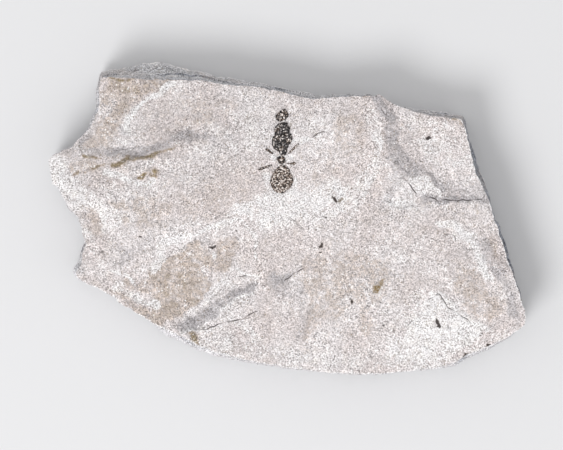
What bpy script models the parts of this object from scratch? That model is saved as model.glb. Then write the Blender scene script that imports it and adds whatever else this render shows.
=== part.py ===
"""Fossil ant: the carbonised film of an ant on a broken slab of lake shale.

The slab lies on its flat underside with the bedding face up, and the ant's patches of
film lie on a calm stretch of that face. +X runs along the slab's length, +Y points
where the ant's head points, and the origin is under the middle of the slab's box.

Run with: blender --background --python part.py
"""

import math

import bpy
import numpy as np
from mathutils import Vector
from mathutils.geometry import delaunay_2d_cdt

MM = 0.001
COLLECTION = "fossil_ant"

# Slab, in millimetres ---------------------------------------------------------------

THICKNESS = 6.6            # underside to the bedding face beside the ant
EDGE_STEP = 0.45           # spacing of the points along the slab's outline
FACE_STEP = 0.45           # spacing of the points inside the bedding face
UNDERSIDE_STEP = 1.6
WIDEST = 0.78              # share of the way down the side where the slab is widest
TUCK = 0.7                 # how far the side draws in again below that
BED_SETBACK = (0.0, 0.24, 0.06, 0.0, 0.18)   # how far each bed is set back, top first
LAMINAE = len(BED_SETBACK)
BED_FACE = (0.12, 0.88)    # rows of points near the top and the foot of each bed
BED_RELIEF = 0.40          # how far one bed is set back from the next
SIDE_RELIEF = 0.26         # and the facets that run through all the beds
FLUSH = 0.08               # more of the side lies flush as this grows, and less set back
BED_WAVE = 0.25            # rise and fall of the beds along the side
EDGE_RUN = 0.6             # width of the worn edge of the bedding face
EDGE_WEAR = 0.10           # how far that edge is worn down
EDGE_CHIPS = 0.32          # depth of the chips in it
KEPT_FACES = 0.285         # share of the triangles that the slab keeps

# Edge of the bedding face, clockwise from the north-west corner: (x, y, flare). Flare
# is how far the foot of the broken side stands out past the edge above it.
OUTLINE = [
    # north side, a wide sloping break at its west end
    (-22.1, 17.0, 0.95), (-20.1, 16.9, 1.3), (-18.5, 16.8, 1.65), (-17.6, 16.8, 2.1),
    (-16.4, 16.7, 2.25), (-15.1, 16.7, 2.3), (-13.4, 16.6, 1.95), (-10.5, 16.6, 1.45),
    (-7.6, 16.1, 1.1), (-4.5, 15.9, 0.75), (-2.1, 15.5, 0.65), (0.3, 14.9, 0.75),
    (1.9, 14.5, 0.9), (3.3, 14.3, 0.75), (3.7, 14.4, 0.3), (4.1, 14.5, 0.55),
    (6.9, 14.6, 0.5), (10.1, 14.7, 0.35),
    # the notch beside the ridge, and the north-east corner
    (11.0, 14.9, -0.15), (11.7, 14.4, -0.15), (12.5, 13.9, -0.15), (13.5, 13.4, 0.2),
    (14.8, 13.0, 0.4), (17.1, 12.3, 0.8), (20.9, 11.9, 0.8),
    # east side, one long clean break
    (21.4, 10.6, 0.4), (21.8, 9.2, 0.5), (22.1, 7.4, 0.7), (22.8, 5.2, 0.75),
    (23.6, 3.4, 0.6), (24.4, 1.5, 0.4), (25.0, -0.4, 0.5), (25.9, -3.3, 0.6),
    (26.5, -5.2, 0.55), (27.2, -7.1, 0.4), (27.9, -9.1, 0.35), (28.4, -10.7, 0.3),
    (28.7, -11.9, -0.1), (28.4, -12.8, -0.15),
    # the bevelled south-east corner
    (27.2, -13.8, 0.3), (25.5, -14.7, 0.45), (23.8, -15.4, 0.65), (21.7, -16.3, 0.7),
    (20.1, -17.3, 0.6),
    # south side, one long curve
    (17.8, -17.9, 0.35), (14.7, -18.3, 0.3), (9.9, -18.7, 0.25), (5.1, -18.5, 0.25),
    (1.5, -18.1, 0.3), (-2.1, -17.6, 0.4), (-5.7, -16.8, 0.6), (-8.6, -16.1, 0.6),
    (-10.6, -15.3, 0.65), (-12.3, -14.4, 0.95), (-13.9, -13.6, 0.9), (-15.2, -13.1, 0.5),
    (-16.5, -12.4, 0.0), (-18.9, -10.9, -0.1), (-20.2, -10.1, -0.1),
    (-21.3, -9.2, -0.1), (-22.5, -8.5, -0.1), (-24.0, -7.9, 0.1), (-25.2, -7.1, 0.3),
    # west side: a blunt knob, a bay, a square tooth and the run up to the corner
    (-25.4, -6.5, 0.55), (-25.2, -6.1, 0.7), (-24.8, -5.5, 0.5), (-24.7, -4.5, 0.5),
    (-24.5, -3.7, 0.5), (-24.1, -3.0, 0.45), (-24.2, -2.3, 0.45), (-24.6, -1.3, 0.45),
    (-25.0, -0.3, 0.35), (-25.7, 0.8, 0.3), (-26.3, 1.4, 0.3), (-26.7, 2.3, 0.3),
    (-27.5, 3.8, 0.3), (-28.3, 4.1, -0.1), (-28.4, 5.2, -0.1), (-28.5, 6.1, -0.1),
    (-28.7, 7.0, -0.1), (-28.1, 7.6, 0.35), (-26.9, 8.2, 0.3), (-25.9, 8.5, 0.3),
    (-25.2, 9.4, 0.3), (-24.3, 10.4, 0.4), (-23.5, 11.3, 0.5), (-23.1, 12.3, 0.5),
    (-22.8, 13.3, 0.55), (-22.7, 14.5, 0.6), (-22.6, 15.7, 0.55), (-22.4, 16.5, 0.5),
]

# Ledges of the bedding face: the line of the crest, and how the stone steps down on the
# left of that line. Rise is the height of the step, width is the run of its slope, and
# reach is how far from the step the levels take to even out.
LEDGES = {
    "north_west_corner": dict(
        crest=[(-13.6, 16.6), (-16.4, 14.7), (-18.2, 13.2), (-19.3, 11.6), (-19.7, 9.4)],
        rise=0.30, width=0.9, reach=3.0, taper=1.5),
    "north_scarp": dict(
        crest=[(-29.4, 7.0), (-27.3, 7.6), (-24.5, 7.3), (-22.5, 7.4), (-20.7, 7.0),
               (-19.7, 6.6), (-18.3, 6.9), (-16.9, 7.1), (-15.3, 8.2), (-12.9, 9.2),
               (-10.5, 9.5), (-9.0, 9.6)],
        rise=0.55, width=0.8, reach=3.5, taper=3.5),
    "west_slope": dict(
        crest=[(-15.9, -3.3), (-18.6, -1.2), (-20.6, 1.0), (-22.6, 3.0), (-25.4, 4.6),
               (-27.8, 6.6)],
        rise=0.45, width=2.2, reach=3.0, taper=2.5),
    "middle_slope": dict(
        crest=[(-1.0, 1.6), (-4.6, 2.0), (-8.4, 0.3), (-13.0, -1.1), (-17.0, -1.9)],
        rise=0.22, width=2.6, reach=4.0, taper=3.0),
    "diagonal_scarp": dict(
        crest=[(-14.1, -14.1), (-13.0, -13.3), (-11.5, -12.9), (-10.2, -12.0),
               (-8.8, -11.1), (-6.7, -9.8), (-5.6, -9.2), (-3.9, -8.7), (-2.7, -8.3)],
        rise=0.60, width=1.0, reach=3.5, taper=1.6),
    "hollow_edge": dict(
        crest=[(-1.6, -9.2), (0.2, -8.7), (1.7, -6.6), (3.4, -5.6), (4.6, -4.8)],
        rise=0.22, width=0.8, reach=2.2, taper=1.2),
    "south_line": dict(
        crest=[(1.9, -8.6), (2.4, -11.2), (1.9, -13.6), (1.5, -16.2)],
        rise=0.16, width=0.8, reach=2.6, taper=1.8),
    "ridge_scarp": dict(
        crest=[(10.2, 16.2), (10.5, 14.7), (10.8, 13.5), (11.1, 12.2), (11.4, 10.8),
               (11.4, 9.7), (11.6, 8.1), (12.7, 7.0), (13.1, 5.9), (14.2, 5.2),
               (16.5, 4.9), (17.9, 3.7), (18.9, 2.5), (20.1, 2.0), (22.5, 2.2),
               (25.6, 2.3)],
        rise=0.62, width=1.4, reach=4.0, taper=0.6),
    "small_hollow": dict(
        crest=[(11.2, 1.9), (11.7, 1.7), (12.4, 1.5), (13.1, 1.0), (14.2, 1.1),
               (15.7, 1.5), (16.9, 2.0)],
        rise=0.20, width=0.5, reach=1.6, taper=1.2),
    "east_arc": dict(
        crest=[(23.9, -7.4), (23.1, -5.0), (22.5, -2.6), (20.7, -1.1), (18.3, -0.8)],
        rise=0.20, width=1.2, reach=2.2, taper=1.5),
    "east_slope": dict(
        crest=[(22.8, -0.8), (23.8, -3.6), (25.0, -6.2), (26.1, -8.9), (26.8, -12.0)],
        rise=0.34, width=1.3, reach=2.4, taper=1.5),
}

# Sheets of the next bed up (rise above zero) or scars down to the bed below (under
# zero), each inside its own outline. Edge is the run of the step round it.
SHEETS = {
    "brown_sheet": dict(
        rise=0.12, edge=0.45,
        outline=[(-16.4, -5.6), (-14.5, -5.2), (-11.7, -3.1), (-6.3, -1.4), (-5.3, -2.0),
                 (-5.7, -5.2), (-7.6, -6.9), (-10.0, -8.6), (-10.8, -11.0),
                 (-12.8, -12.1), (-16.4, -11.5), (-17.2, -8.6)]),
    "pale_plate": dict(
        rise=0.14, edge=0.3,
        outline=[(14.0, 4.9), (16.5, 5.1), (17.8, 4.1), (18.8, 2.7), (17.3, 2.2),
                 (15.9, 2.6), (14.9, 3.5)]),
    "south_east_sheet": dict(
        rise=0.14, edge=0.5,
        outline=[(18.3, -8.7), (21.0, -11.2), (24.6, -13.4), (20.4, -15.9),
                 (17.0, -17.2), (14.0, -14.6), (16.0, -11.4)]),
    "oval_scar": dict(
        rise=-0.12, edge=1.3,
        outline=[(3.2, 8.6), (5.2, 8.9), (6.8, 7.4), (6.7, 4.4), (5.2, 2.9), (3.2, 3.4),
                 (2.0, 5.6)]),
    "north_sheet": dict(
        rise=0.08, edge=0.5,
        outline=[(4.8, 11.9), (7.4, 12.6), (9.0, 11.2), (8.9, 8.0), (7.6, 8.4),
                 (6.1, 10.3)]),
    "south_scar": dict(
        rise=-0.14, edge=0.4,
        outline=[(-4.7, -10.8), (-2.4, -10.9), (-1.5, -13.6), (-3.0, -16.0),
                 (-6.0, -15.2), (-7.3, -13.0)]),
    "far_west_scar": dict(
        rise=-0.16, edge=0.4,
        outline=[(-24.6, 1.8), (-23.2, 1.5), (-22.3, -0.6), (-22.8, -2.3), (-24.3, -0.9)]),
    "south_west_scar": dict(
        rise=-0.15, edge=0.5,
        outline=[(-20.6, -7.2), (-18.0, -6.9), (-17.3, -9.6), (-18.9, -11.2),
                 (-21.4, -9.8)]),
}

# Low swells and dips of the whole face: (x, y, radius, height)
SWELLS = [
    (-24.0, 15.5, 5.0, -0.25), (-6.0, 12.5, 6.0, -0.12), (9.2, 12.0, 3.4, 0.22),
    (-26.0, -5.5, 4.0, -0.35), (-9.0, -15.5, 4.0, -0.30), (14.0, -14.0, 8.0, 0.15),
    (26.0, -12.5, 4.0, -0.35), (9.0, -5.0, 8.0, 0.12), (-20.0, 4.5, 4.0, 0.10),
]

# Scars in the underside, clear of its flat middle: (x, y, radius, depth)
UNDERSIDE_SCARS = [
    (-24.0, 3.0, 5.5, 0.9), (-15.0, 15.5, 5.5, 0.8), (24.5, 8.5, 5.0, 0.7),
    (-15.5, -13.5, 4.6, 0.8), (26.5, -10.5, 4.6, 0.9), (6.0, -18.5, 4.2, 0.6),
]

# Ant, in millimetres ----------------------------------------------------------------

FILM_GAP = 0.02            # clearance of the film over the stone
FILM_EDGE = 0.07           # thickness of the film at its outline
RINGS = (1.0, 0.88, 0.68, 0.44, 0.20)
FURROW_WIDTH = 0.22
SPINE = [(-0.6, 12.9), (-0.7, 3.5)]
CALM_NEAR = 3.3            # the face is level this close to the spine
CALM_FAR = 6.0             # and has its full relief this far away

# Each body patch: its outline, clockwise from the front, the height of its crown, and
# the furrows that cross it where its plates meet, as (y, share of the height lost)
BODY_PATCHES = {
    "head": dict(
        rise=0.19, furrows=[],
        outline=[(-0.75, 13.05), (-0.35, 13.15), (-0.10, 12.95), (0.14, 12.45),
                 (-0.03, 11.98), (-0.35, 11.82), (-0.68, 11.75), (-1.00, 11.70),
                 (-1.28, 11.82), (-1.44, 12.20), (-1.28, 12.70), (-1.06, 12.84)]),
    "thorax": dict(
        rise=0.24, furrows=[(10.15, 0.5), (8.15, 0.35)],
        outline=[(-0.50, 11.55), (-0.05, 11.45), (0.22, 11.10), (0.32, 10.62),
                 (0.28, 10.38), (0.50, 10.08), (0.56, 9.62), (0.46, 9.20),
                 (0.20, 8.88), (0.06, 8.40), (-0.06, 7.95), (-0.26, 7.62),
                 (-0.58, 7.53), (-0.90, 7.72), (-1.06, 8.02), (-1.48, 8.28),
                 (-1.76, 8.60), (-1.82, 9.05), (-1.88, 9.42), (-1.78, 9.86),
                 (-1.52, 10.06), (-1.46, 10.36), (-1.50, 10.70), (-1.24, 11.20),
                 (-0.92, 11.45)]),
    "petiole": dict(
        rise=0.17, furrows=[],
        outline=[(-0.62, 7.44), (-0.34, 7.32), (-0.28, 7.00), (-0.34, 6.68),
                 (-0.70, 6.55), (-1.06, 6.68), (-1.16, 6.92), (-1.28, 7.12),
                 (-1.02, 7.34)]),
    "gaster": dict(
        rise=0.26, furrows=[(5.15, 0.35), (4.55, 0.3), (3.85, 0.3)],
        outline=[(-0.70, 6.44), (-0.36, 6.34), (-0.04, 6.16), (0.30, 5.82),
                 (0.52, 5.42), (0.66, 4.94), (0.64, 4.36), (0.34, 3.74),
                 (-0.20, 3.22), (-0.78, 3.02), (-1.38, 3.16), (-1.82, 3.66),
                 (-2.00, 4.20), (-2.02, 4.70), (-1.78, 5.30), (-1.54, 5.78),
                 (-1.10, 6.20)]),
}

# Each leg: its line from the body outward as (x, y, width), and its height
LEG_PATCHES = {
    "right_middle_leg": dict(
        rise=0.11,
        line=[(0.12, 7.78, 0.14), (0.44, 8.10, 0.22), (0.84, 8.50, 0.25),
              (1.16, 8.80, 0.24), (1.38, 8.98, 0.12)]),
    "left_middle_leg": dict(
        rise=0.12,
        line=[(-1.70, 7.78, 0.14), (-1.94, 7.88, 0.24), (-2.22, 8.12, 0.24),
              (-2.46, 8.26, 0.28), (-2.66, 8.34, 0.12)]),
    "right_hind_leg": dict(
        rise=0.10,
        line=[(-0.04, 6.60, 0.10), (0.26, 6.62, 0.13), (0.56, 6.60, 0.20),
              (0.78, 6.60, 0.34), (0.98, 6.70, 0.14)]),
    "left_hind_leg": dict(
        rise=0.11,
        line=[(-1.84, 6.42, 0.12), (-2.20, 6.30, 0.19), (-2.62, 6.18, 0.20),
              (-3.06, 5.98, 0.20), (-3.54, 5.84, 0.12)]),
}

# Colours: base colour (linear), roughness -----------------------------------------------

SHALE_FINISH = ((0.62, 0.57, 0.55), 0.92)
FILM_FINISH = ((0.055, 0.040, 0.034), 0.55)


# Numbers along lines and over surfaces ------------------------------------------------

def fade(t):
    """Goes smoothly from 0 to 1 as t does."""
    t = np.clip(t, 0.0, 1.0)
    return t * t * (3.0 - 2.0 * t)


def smooth_noise(x, y, cell, seed, creased=False):
    """Random values between -1 and 1, in lumps (or flat facets) about a cell across."""
    lattice = np.random.RandomState(seed).uniform(-1.0, 1.0, (64, 64))
    u = np.asarray(x) / cell
    v = np.asarray(y) / cell
    column = np.floor(u).astype(int)
    row = np.floor(v).astype(int)
    across = u - column if creased else fade(u - column)
    along = fade(v - row)
    low = (lattice[column % 64, row % 64] * (1.0 - across)
           + lattice[(column + 1) % 64, row % 64] * across)
    high = (lattice[column % 64, (row + 1) % 64] * (1.0 - across)
            + lattice[(column + 1) % 64, (row + 1) % 64] * across)
    return low * (1.0 - along) + high * along


def curve_through(points, parts, closed=False):
    """Points on a smooth curve through the given ones, `parts` to each span."""
    points = np.array(points, dtype=float)
    count = len(points)
    spans = count if closed else count - 1
    curve = []
    for i in range(spans):
        near = [(i + k) % count if closed else min(max(i + k, 0), count - 1)
                for k in (-1, 0, 1, 2)]
        before, start, end, after = points[near]
        for t in np.arange(parts) / parts:
            curve.append(0.5 * (2.0 * start
                                + (end - before) * t
                                + (2.0 * before - 5.0 * start + 4.0 * end - after) * t ** 2
                                + (3.0 * start - before - 3.0 * end + after) * t ** 3))
    if not closed:
        curve.append(points[-1])
    return np.array(curve)


def divided_loop(points, step):
    """The closed outline with every side divided into parts about one step long."""
    points = np.array(points, dtype=float)
    loop = []
    for start, end in zip(points, np.roll(points, -1, axis=0)):
        parts = max(1, round(math.dist(start[:2], end[:2]) / step))
        loop.extend(start + (end - start) * k / parts for k in range(parts))
    return np.array(loop)


def distance_to_line(x, y, line):
    """Distance to a line (above zero on its left) and how far along it that is."""
    start = line[:-1]
    run = line[1:] - start
    length = np.hypot(run[:, 0], run[:, 1])
    begins = np.concatenate(([0.0], np.cumsum(length)[:-1]))
    from_x = x[:, None] - start[None, :, 0]
    from_y = y[:, None] - start[None, :, 1]
    share = np.clip((from_x * run[:, 0] + from_y * run[:, 1]) / length ** 2, 0.0, 1.0)
    apart = np.hypot(from_x - share * run[:, 0], from_y - share * run[:, 1])
    nearest = np.argmin(apart, axis=1)
    rows = np.arange(len(x))
    left = (run[nearest, 0] * from_y[rows, nearest]
            - run[nearest, 1] * from_x[rows, nearest])
    along = begins[nearest] + share[rows, nearest] * length[nearest]
    return np.where(left >= 0.0, 1.0, -1.0) * apart[rows, nearest], along


def is_inside(x, y, loop):
    """True for the points inside a closed outline."""
    inside = np.zeros(len(x), dtype=bool)
    for (ax, ay), (bx, by) in zip(loop, np.roll(loop, -1, axis=0)):
        if ay == by:
            continue
        spans = (ay > y) != (by > y)
        inside ^= spans & (x < ax + (y - ay) * (bx - ax) / (by - ay))
    return inside


# Relief of the slab -------------------------------------------------------------------

def ledge_height(x, y, crest, rise, width, reach, taper):
    """Height of one step: half the rise up behind the crest, half down beyond it."""
    line = curve_through(crest, 6)
    beyond, along = distance_to_line(x, y, line)
    total = np.hypot(*(line[1:] - line[:-1]).T).sum()
    ends = fade(along / taper) * fade((total - along) / taper)
    step = 0.5 - fade(beyond / width)
    settle = np.where(beyond < 0.0, np.exp(beyond / reach),
                      np.exp(-np.maximum(beyond - width, 0.0) / reach))
    return rise * ends * step * settle


def sheet_height(x, y, outline, rise, edge):
    """Height of one sheet or scar, with its edge sloping outward from the outline."""
    loop = curve_through(outline, 4, closed=True)
    line = np.vstack((loop, loop[:1]))
    apart = np.abs(distance_to_line(x, y, line)[0])
    outward = np.where(is_inside(x, y, loop), -apart, apart)
    return rise * (1.0 - fade((outward + edge / 2.0) / edge))


def face_height(x, y):
    """Height of the bedding face, in millimetres above the underside."""
    ragged_x = x + 0.30 * smooth_noise(x, y, 1.5, 11) + 0.12 * smooth_noise(x, y, 0.6, 12)
    ragged_y = y + 0.30 * smooth_noise(x, y, 1.5, 13) + 0.12 * smooth_noise(x, y, 0.6, 14)
    relief = 0.16 * smooth_noise(x, y, 7.0, 21) + 0.06 * smooth_noise(x, y, 2.4, 22)
    for ledge in LEDGES.values():
        relief += ledge_height(ragged_x, ragged_y, **ledge)
    for sheet in SHEETS.values():
        relief += sheet_height(ragged_x, ragged_y, **sheet)
    for centre_x, centre_y, radius, height in SWELLS:
        away = np.hypot(x - centre_x, y - centre_y) / radius
        relief += height * np.exp(-away ** 2)
    from_spine = np.abs(distance_to_line(x, y, np.array(SPINE))[0])
    return THICKNESS + relief * fade((from_spine - CALM_NEAR) / (CALM_FAR - CALM_NEAR))


def underside_height(x, y):
    """Height of the underside: level, but for the scars near its edge."""
    height = np.zeros(len(x))
    for centre_x, centre_y, radius, depth in UNDERSIDE_SCARS:
        away = np.hypot(x - centre_x, y - centre_y)
        height += depth * fade(1.0 - away / radius)
    return height


def edge_wear(apart, along):
    """How far the bedding face is worn or chipped down, by distance from its edge."""
    chips = np.maximum(0.0, smooth_noise(along, along * 0.0, 1.3, 41))
    return (EDGE_WEAR + EDGE_CHIPS * chips ** 2) * fade(1.0 - apart / EDGE_RUN)


def side_offset(along, down, flare):
    """How far a point of the side stands out past the edge above it, in flat facets
    and beds that are set back from its slope."""
    bed = np.minimum(np.floor(down * LAMINAE), LAMINAE - 1)
    relief = BED_RELIEF * smooth_noise(along, bed * 9.9, 3.3, 31, creased=True)
    relief += SIDE_RELIEF * smooth_noise(along, down * 3.0, 2.4, 32, creased=True)
    relief += 0.3 * SIDE_RELIEF * smooth_noise(along, bed * 3.1, 0.9, 33)
    relief = np.minimum(relief + FLUSH, 0.0) - np.array(BED_SETBACK)[bed.astype(int)]
    tuck = TUCK * np.maximum(0.0, (down - WIDEST) / (1.0 - WIDEST)) ** 2
    slope = flare * np.minimum(down / WIDEST, 1.0)
    return slope + relief * fade(down * LAMINAE / BED_FACE[0] / 2.0) - tuck


def side_rows():
    """Shares of the way down the side at which its rows of points lie."""
    return [0.0] + [(bed + share) / LAMINAE for bed in range(LAMINAE)
                    for share in BED_FACE] + [1.0]


# Meshes -------------------------------------------------------------------------------

def filled_face(loop, step):
    """Triangles that fill an outline, on points set in rows inside it."""
    low = loop.min(axis=0)
    high = loop.max(axis=0)
    row_height = step * math.sqrt(3.0) / 2.0
    grid = []
    for row in range(int((high[1] - low[1]) / row_height) + 1):
        xs = np.arange(low[0] + (row % 2) * step / 2.0, high[0], step)
        grid.append(np.column_stack((xs, np.full(len(xs), low[1] + row * row_height))))
    grid = np.vstack(grid)
    line = np.vstack((loop, loop[:1]))
    clear = np.abs(distance_to_line(grid[:, 0], grid[:, 1], line)[0]) > 0.6 * step
    grid = grid[clear & is_inside(grid[:, 0], grid[:, 1], loop)]
    points = np.vstack((loop, grid))
    count = len(loop)
    edges = [(i, (i + 1) % count) for i in range(count)]
    corners = [Vector(point) for point in points]
    made, _, faces, _, _, _ = delaunay_2d_cdt(corners, edges, [], 1, 1e-6)
    return np.array([tuple(corner) for corner in made]), np.array(faces)


def outward_directions(loop):
    """Unit vectors that point out of a clockwise outline, evened out along it."""
    ahead = np.roll(loop, -1, axis=0) - np.roll(loop, 1, axis=0)
    out = np.column_stack((-ahead[:, 1], ahead[:, 0]))
    out /= np.hypot(out[:, 0], out[:, 1])[:, None]
    for _ in range(3):
        out = 0.5 * out + 0.25 * (np.roll(out, 1, axis=0) + np.roll(out, -1, axis=0))
        out /= np.hypot(out[:, 0], out[:, 1])[:, None]
    return out


def new_object(name, points, faces, finish, collection):
    """A mesh object from points in millimetres, shaded smooth up to sharp edges."""
    mesh = bpy.data.meshes.new(name)
    mesh.from_pydata([tuple(point) for point in np.asarray(points) * MM], [],
                     [tuple(int(i) for i in face) for face in faces])
    mesh.validate()
    mesh.shade_smooth()
    mesh.set_sharp_from_angle(angle=math.radians(32.0))
    mesh.materials.append(finish)
    made = bpy.data.objects.new(name, mesh)
    collection.objects.link(made)
    return made


def finish_material(name, colour, roughness):
    """A plain material with the colour and roughness of one of the pieces."""
    material = bpy.data.materials.new(name)
    material.use_nodes = True
    shader = material.node_tree.nodes["Principled BSDF"]
    shader.inputs["Base Color"].default_value = (*colour, 1.0)
    shader.inputs["Roughness"].default_value = roughness
    shader.inputs["Metallic"].default_value = 0.0
    return material


# Pieces -------------------------------------------------------------------------------

def make_slab(collection):
    """The slab: bedding face, broken side lofted down from its edge, and underside."""
    stations = divided_loop(OUTLINE, EDGE_STEP)
    edge = stations[:, :2]
    flare = stations[:, 2]
    count = len(edge)
    closed_edge = np.vstack((edge, edge[:1]))
    along = distance_to_line(edge[:, 0], edge[:, 1], closed_edge)[1]
    out = outward_directions(edge)
    rows = side_rows()

    face_points, face_triangles = filled_face(edge, FACE_STEP)
    apart, beside = distance_to_line(face_points[:, 0], face_points[:, 1], closed_edge)
    face_z = face_height(face_points[:, 0], face_points[:, 1])
    face_z -= edge_wear(np.abs(apart), beside)
    points = [np.column_stack((face_points, face_z))]

    foot = edge + out * side_offset(along, np.ones(count), flare)[:, None]
    foot_z = underside_height(foot[:, 0], foot[:, 1])
    for down in rows[1:-1]:
        offset = side_offset(along, np.full(count, down), flare)
        row = edge + out * offset[:, None]
        wave = BED_WAVE * math.sin(math.pi * down) * smooth_noise(along, 0.0, 7.0, 34)
        points.append(np.column_stack((row, face_z[:count] * (1.0 - down)
                                       + foot_z * down + wave)))

    base_points, base_triangles = filled_face(foot, UNDERSIDE_STEP)
    base_z = underside_height(base_points[:, 0], base_points[:, 1])
    points.append(np.column_stack((base_points, base_z)))

    row_starts = [0] + [len(face_points) + k * count for k in range(len(rows) - 1)]
    faces = [tuple(triangle) for triangle in face_triangles]
    for upper, lower in zip(row_starts, row_starts[1:]):
        for i in range(count):
            j = (i + 1) % count
            faces.append((upper + i, upper + j, lower + j))
            faces.append((upper + i, lower + j, lower + i))
    faces += [tuple(row_starts[-1] + triangle[::-1]) for triangle in base_triangles]

    finish = finish_material("shale", *SHALE_FINISH)
    slab = new_object("shale_slab", np.vstack(points), faces, finish, collection)
    thinned = slab.modifiers.new("Decimate", "DECIMATE")
    thinned.ratio = KEPT_FACES
    return slab


def crown_height(y, ring, rise, furrows):
    """Height of a domed patch on one of its rings, pressed down along the furrows."""
    dome = FILM_EDGE + (rise - FILM_EDGE) * math.sqrt(1.0 - ring ** 2)
    pressed = np.ones(len(y))
    for furrow_y, share in furrows:
        pressed -= share * np.exp(-((y - furrow_y) / FURROW_WIDTH) ** 2)
    return dome * pressed


def make_body_patch(name, outline, rise, furrows, finish, collection):
    """One domed patch of film: rings drawn in from its outline up to the crown."""
    loop = curve_through(outline, 2, closed=True)
    centre = loop.mean(axis=0)
    count = len(loop)
    base = THICKNESS + FILM_GAP
    points = [np.column_stack((loop, np.full(count, base)))]
    for ring in RINGS:
        drawn_in = centre + (loop - centre) * ring
        height = crown_height(drawn_in[:, 1], ring, rise, furrows)
        points.append(np.column_stack((drawn_in, base + height)))
    faces = [tuple(range(count))]
    for ring in range(len(RINGS)):
        lower = ring * count
        upper = lower + count
        for i in range(count):
            j = (i + 1) % count
            faces.append((lower + j, lower + i, upper + i, upper + j))
    crown = len(RINGS) * count
    faces.append(tuple(crown + i for i in reversed(range(count))))
    return new_object(name, np.vstack(points), faces, finish, collection)


def make_leg_patch(name, line, rise, finish, collection):
    """One leg: low arched sections lofted along its line, flat underneath."""
    path = curve_through(line, 2)
    ahead = np.gradient(path[:, :2], axis=0)
    ahead /= np.hypot(ahead[:, 0], ahead[:, 1])[:, None]
    base = THICKNESS + FILM_GAP
    arch = [(math.cos(angle), math.sin(angle)) for angle in np.linspace(0.0, math.pi, 7)]
    points = []
    for (x, y, width), (dx, dy) in zip(path, ahead):
        narrow = width / max(station[2] for station in line)
        for side, height in arch:
            lift = base + rise * math.sqrt(narrow) * height
            points.append((x - dy * side * width / 2.0, y + dx * side * width / 2.0, lift))
    across = len(arch)
    faces = [tuple(reversed(range(across)))]
    for section in range(len(path) - 1):
        near = section * across
        far = near + across
        for i in range(across):
            j = (i + 1) % across
            faces.append((near + i, near + j, far + j, far + i))
    last = (len(path) - 1) * across
    faces.append(tuple(last + i for i in range(across)))
    return new_object(name, points, faces, finish, collection)


def main():
    for old in list(bpy.data.objects):
        bpy.data.objects.remove(old, do_unlink=True)
    collection = bpy.data.collections.new(COLLECTION)
    bpy.context.scene.collection.children.link(collection)
    make_slab(collection)
    finish = finish_material("film", *FILM_FINISH)
    for name, patch in BODY_PATCHES.items():
        make_body_patch(name, **patch, finish=finish, collection=collection)
    for name, patch in LEG_PATCHES.items():
        make_leg_patch(name, **patch, finish=finish, collection=collection)


main()
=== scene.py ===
"""Fossil ant on its slab of lake shale: the finished surfaces, the light and the camera.

Laid out as a Blender add-on: settings, one operator for each group of pieces and a
panel that lists them. Run as a script, it makes everything once, in order.
"""

import math

import bpy
import numpy as np
from bpy.props import FloatProperty, FloatVectorProperty, IntProperty, PointerProperty
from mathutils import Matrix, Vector
from mathutils.geometry import delaunay_2d_cdt


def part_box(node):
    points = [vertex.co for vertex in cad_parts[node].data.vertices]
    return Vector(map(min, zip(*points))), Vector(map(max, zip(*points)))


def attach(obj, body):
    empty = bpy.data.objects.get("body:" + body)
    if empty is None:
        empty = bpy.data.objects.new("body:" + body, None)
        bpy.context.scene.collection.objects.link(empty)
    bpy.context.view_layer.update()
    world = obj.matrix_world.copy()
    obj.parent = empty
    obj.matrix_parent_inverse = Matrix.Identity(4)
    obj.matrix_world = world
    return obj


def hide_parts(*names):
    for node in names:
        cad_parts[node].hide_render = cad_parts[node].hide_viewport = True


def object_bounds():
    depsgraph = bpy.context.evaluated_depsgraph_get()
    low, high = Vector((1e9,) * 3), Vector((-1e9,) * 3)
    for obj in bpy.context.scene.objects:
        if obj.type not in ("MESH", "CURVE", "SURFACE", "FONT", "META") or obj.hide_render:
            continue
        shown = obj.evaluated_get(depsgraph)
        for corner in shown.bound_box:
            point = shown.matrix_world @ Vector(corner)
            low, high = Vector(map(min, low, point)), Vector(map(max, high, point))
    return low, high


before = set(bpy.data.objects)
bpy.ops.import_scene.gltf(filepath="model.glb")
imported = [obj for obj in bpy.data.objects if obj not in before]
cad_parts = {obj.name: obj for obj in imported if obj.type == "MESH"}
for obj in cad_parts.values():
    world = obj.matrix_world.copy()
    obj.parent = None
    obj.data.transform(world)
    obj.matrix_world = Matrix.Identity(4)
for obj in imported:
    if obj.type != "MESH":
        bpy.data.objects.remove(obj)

bl_info = {
    "name": "Fossil Ant",
    "version": (1, 0, 0),
    "blender": (4, 5, 0),
    "location": "3D View > Sidebar > Fossil Ant",
    "description": "Makes a fossil ant on a broken slab of shale, with its floor and light",
    "category": "Add Mesh",
}

MM = 0.001
CAD_BOX = [list(corner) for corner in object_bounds()]
SLAB_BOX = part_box("shale_slab")
MAIN_BODY = "root"
CHALK = 0.93               # lightest colour of any grain

# Slab, in millimetres ---------------------------------------------------------------

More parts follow.
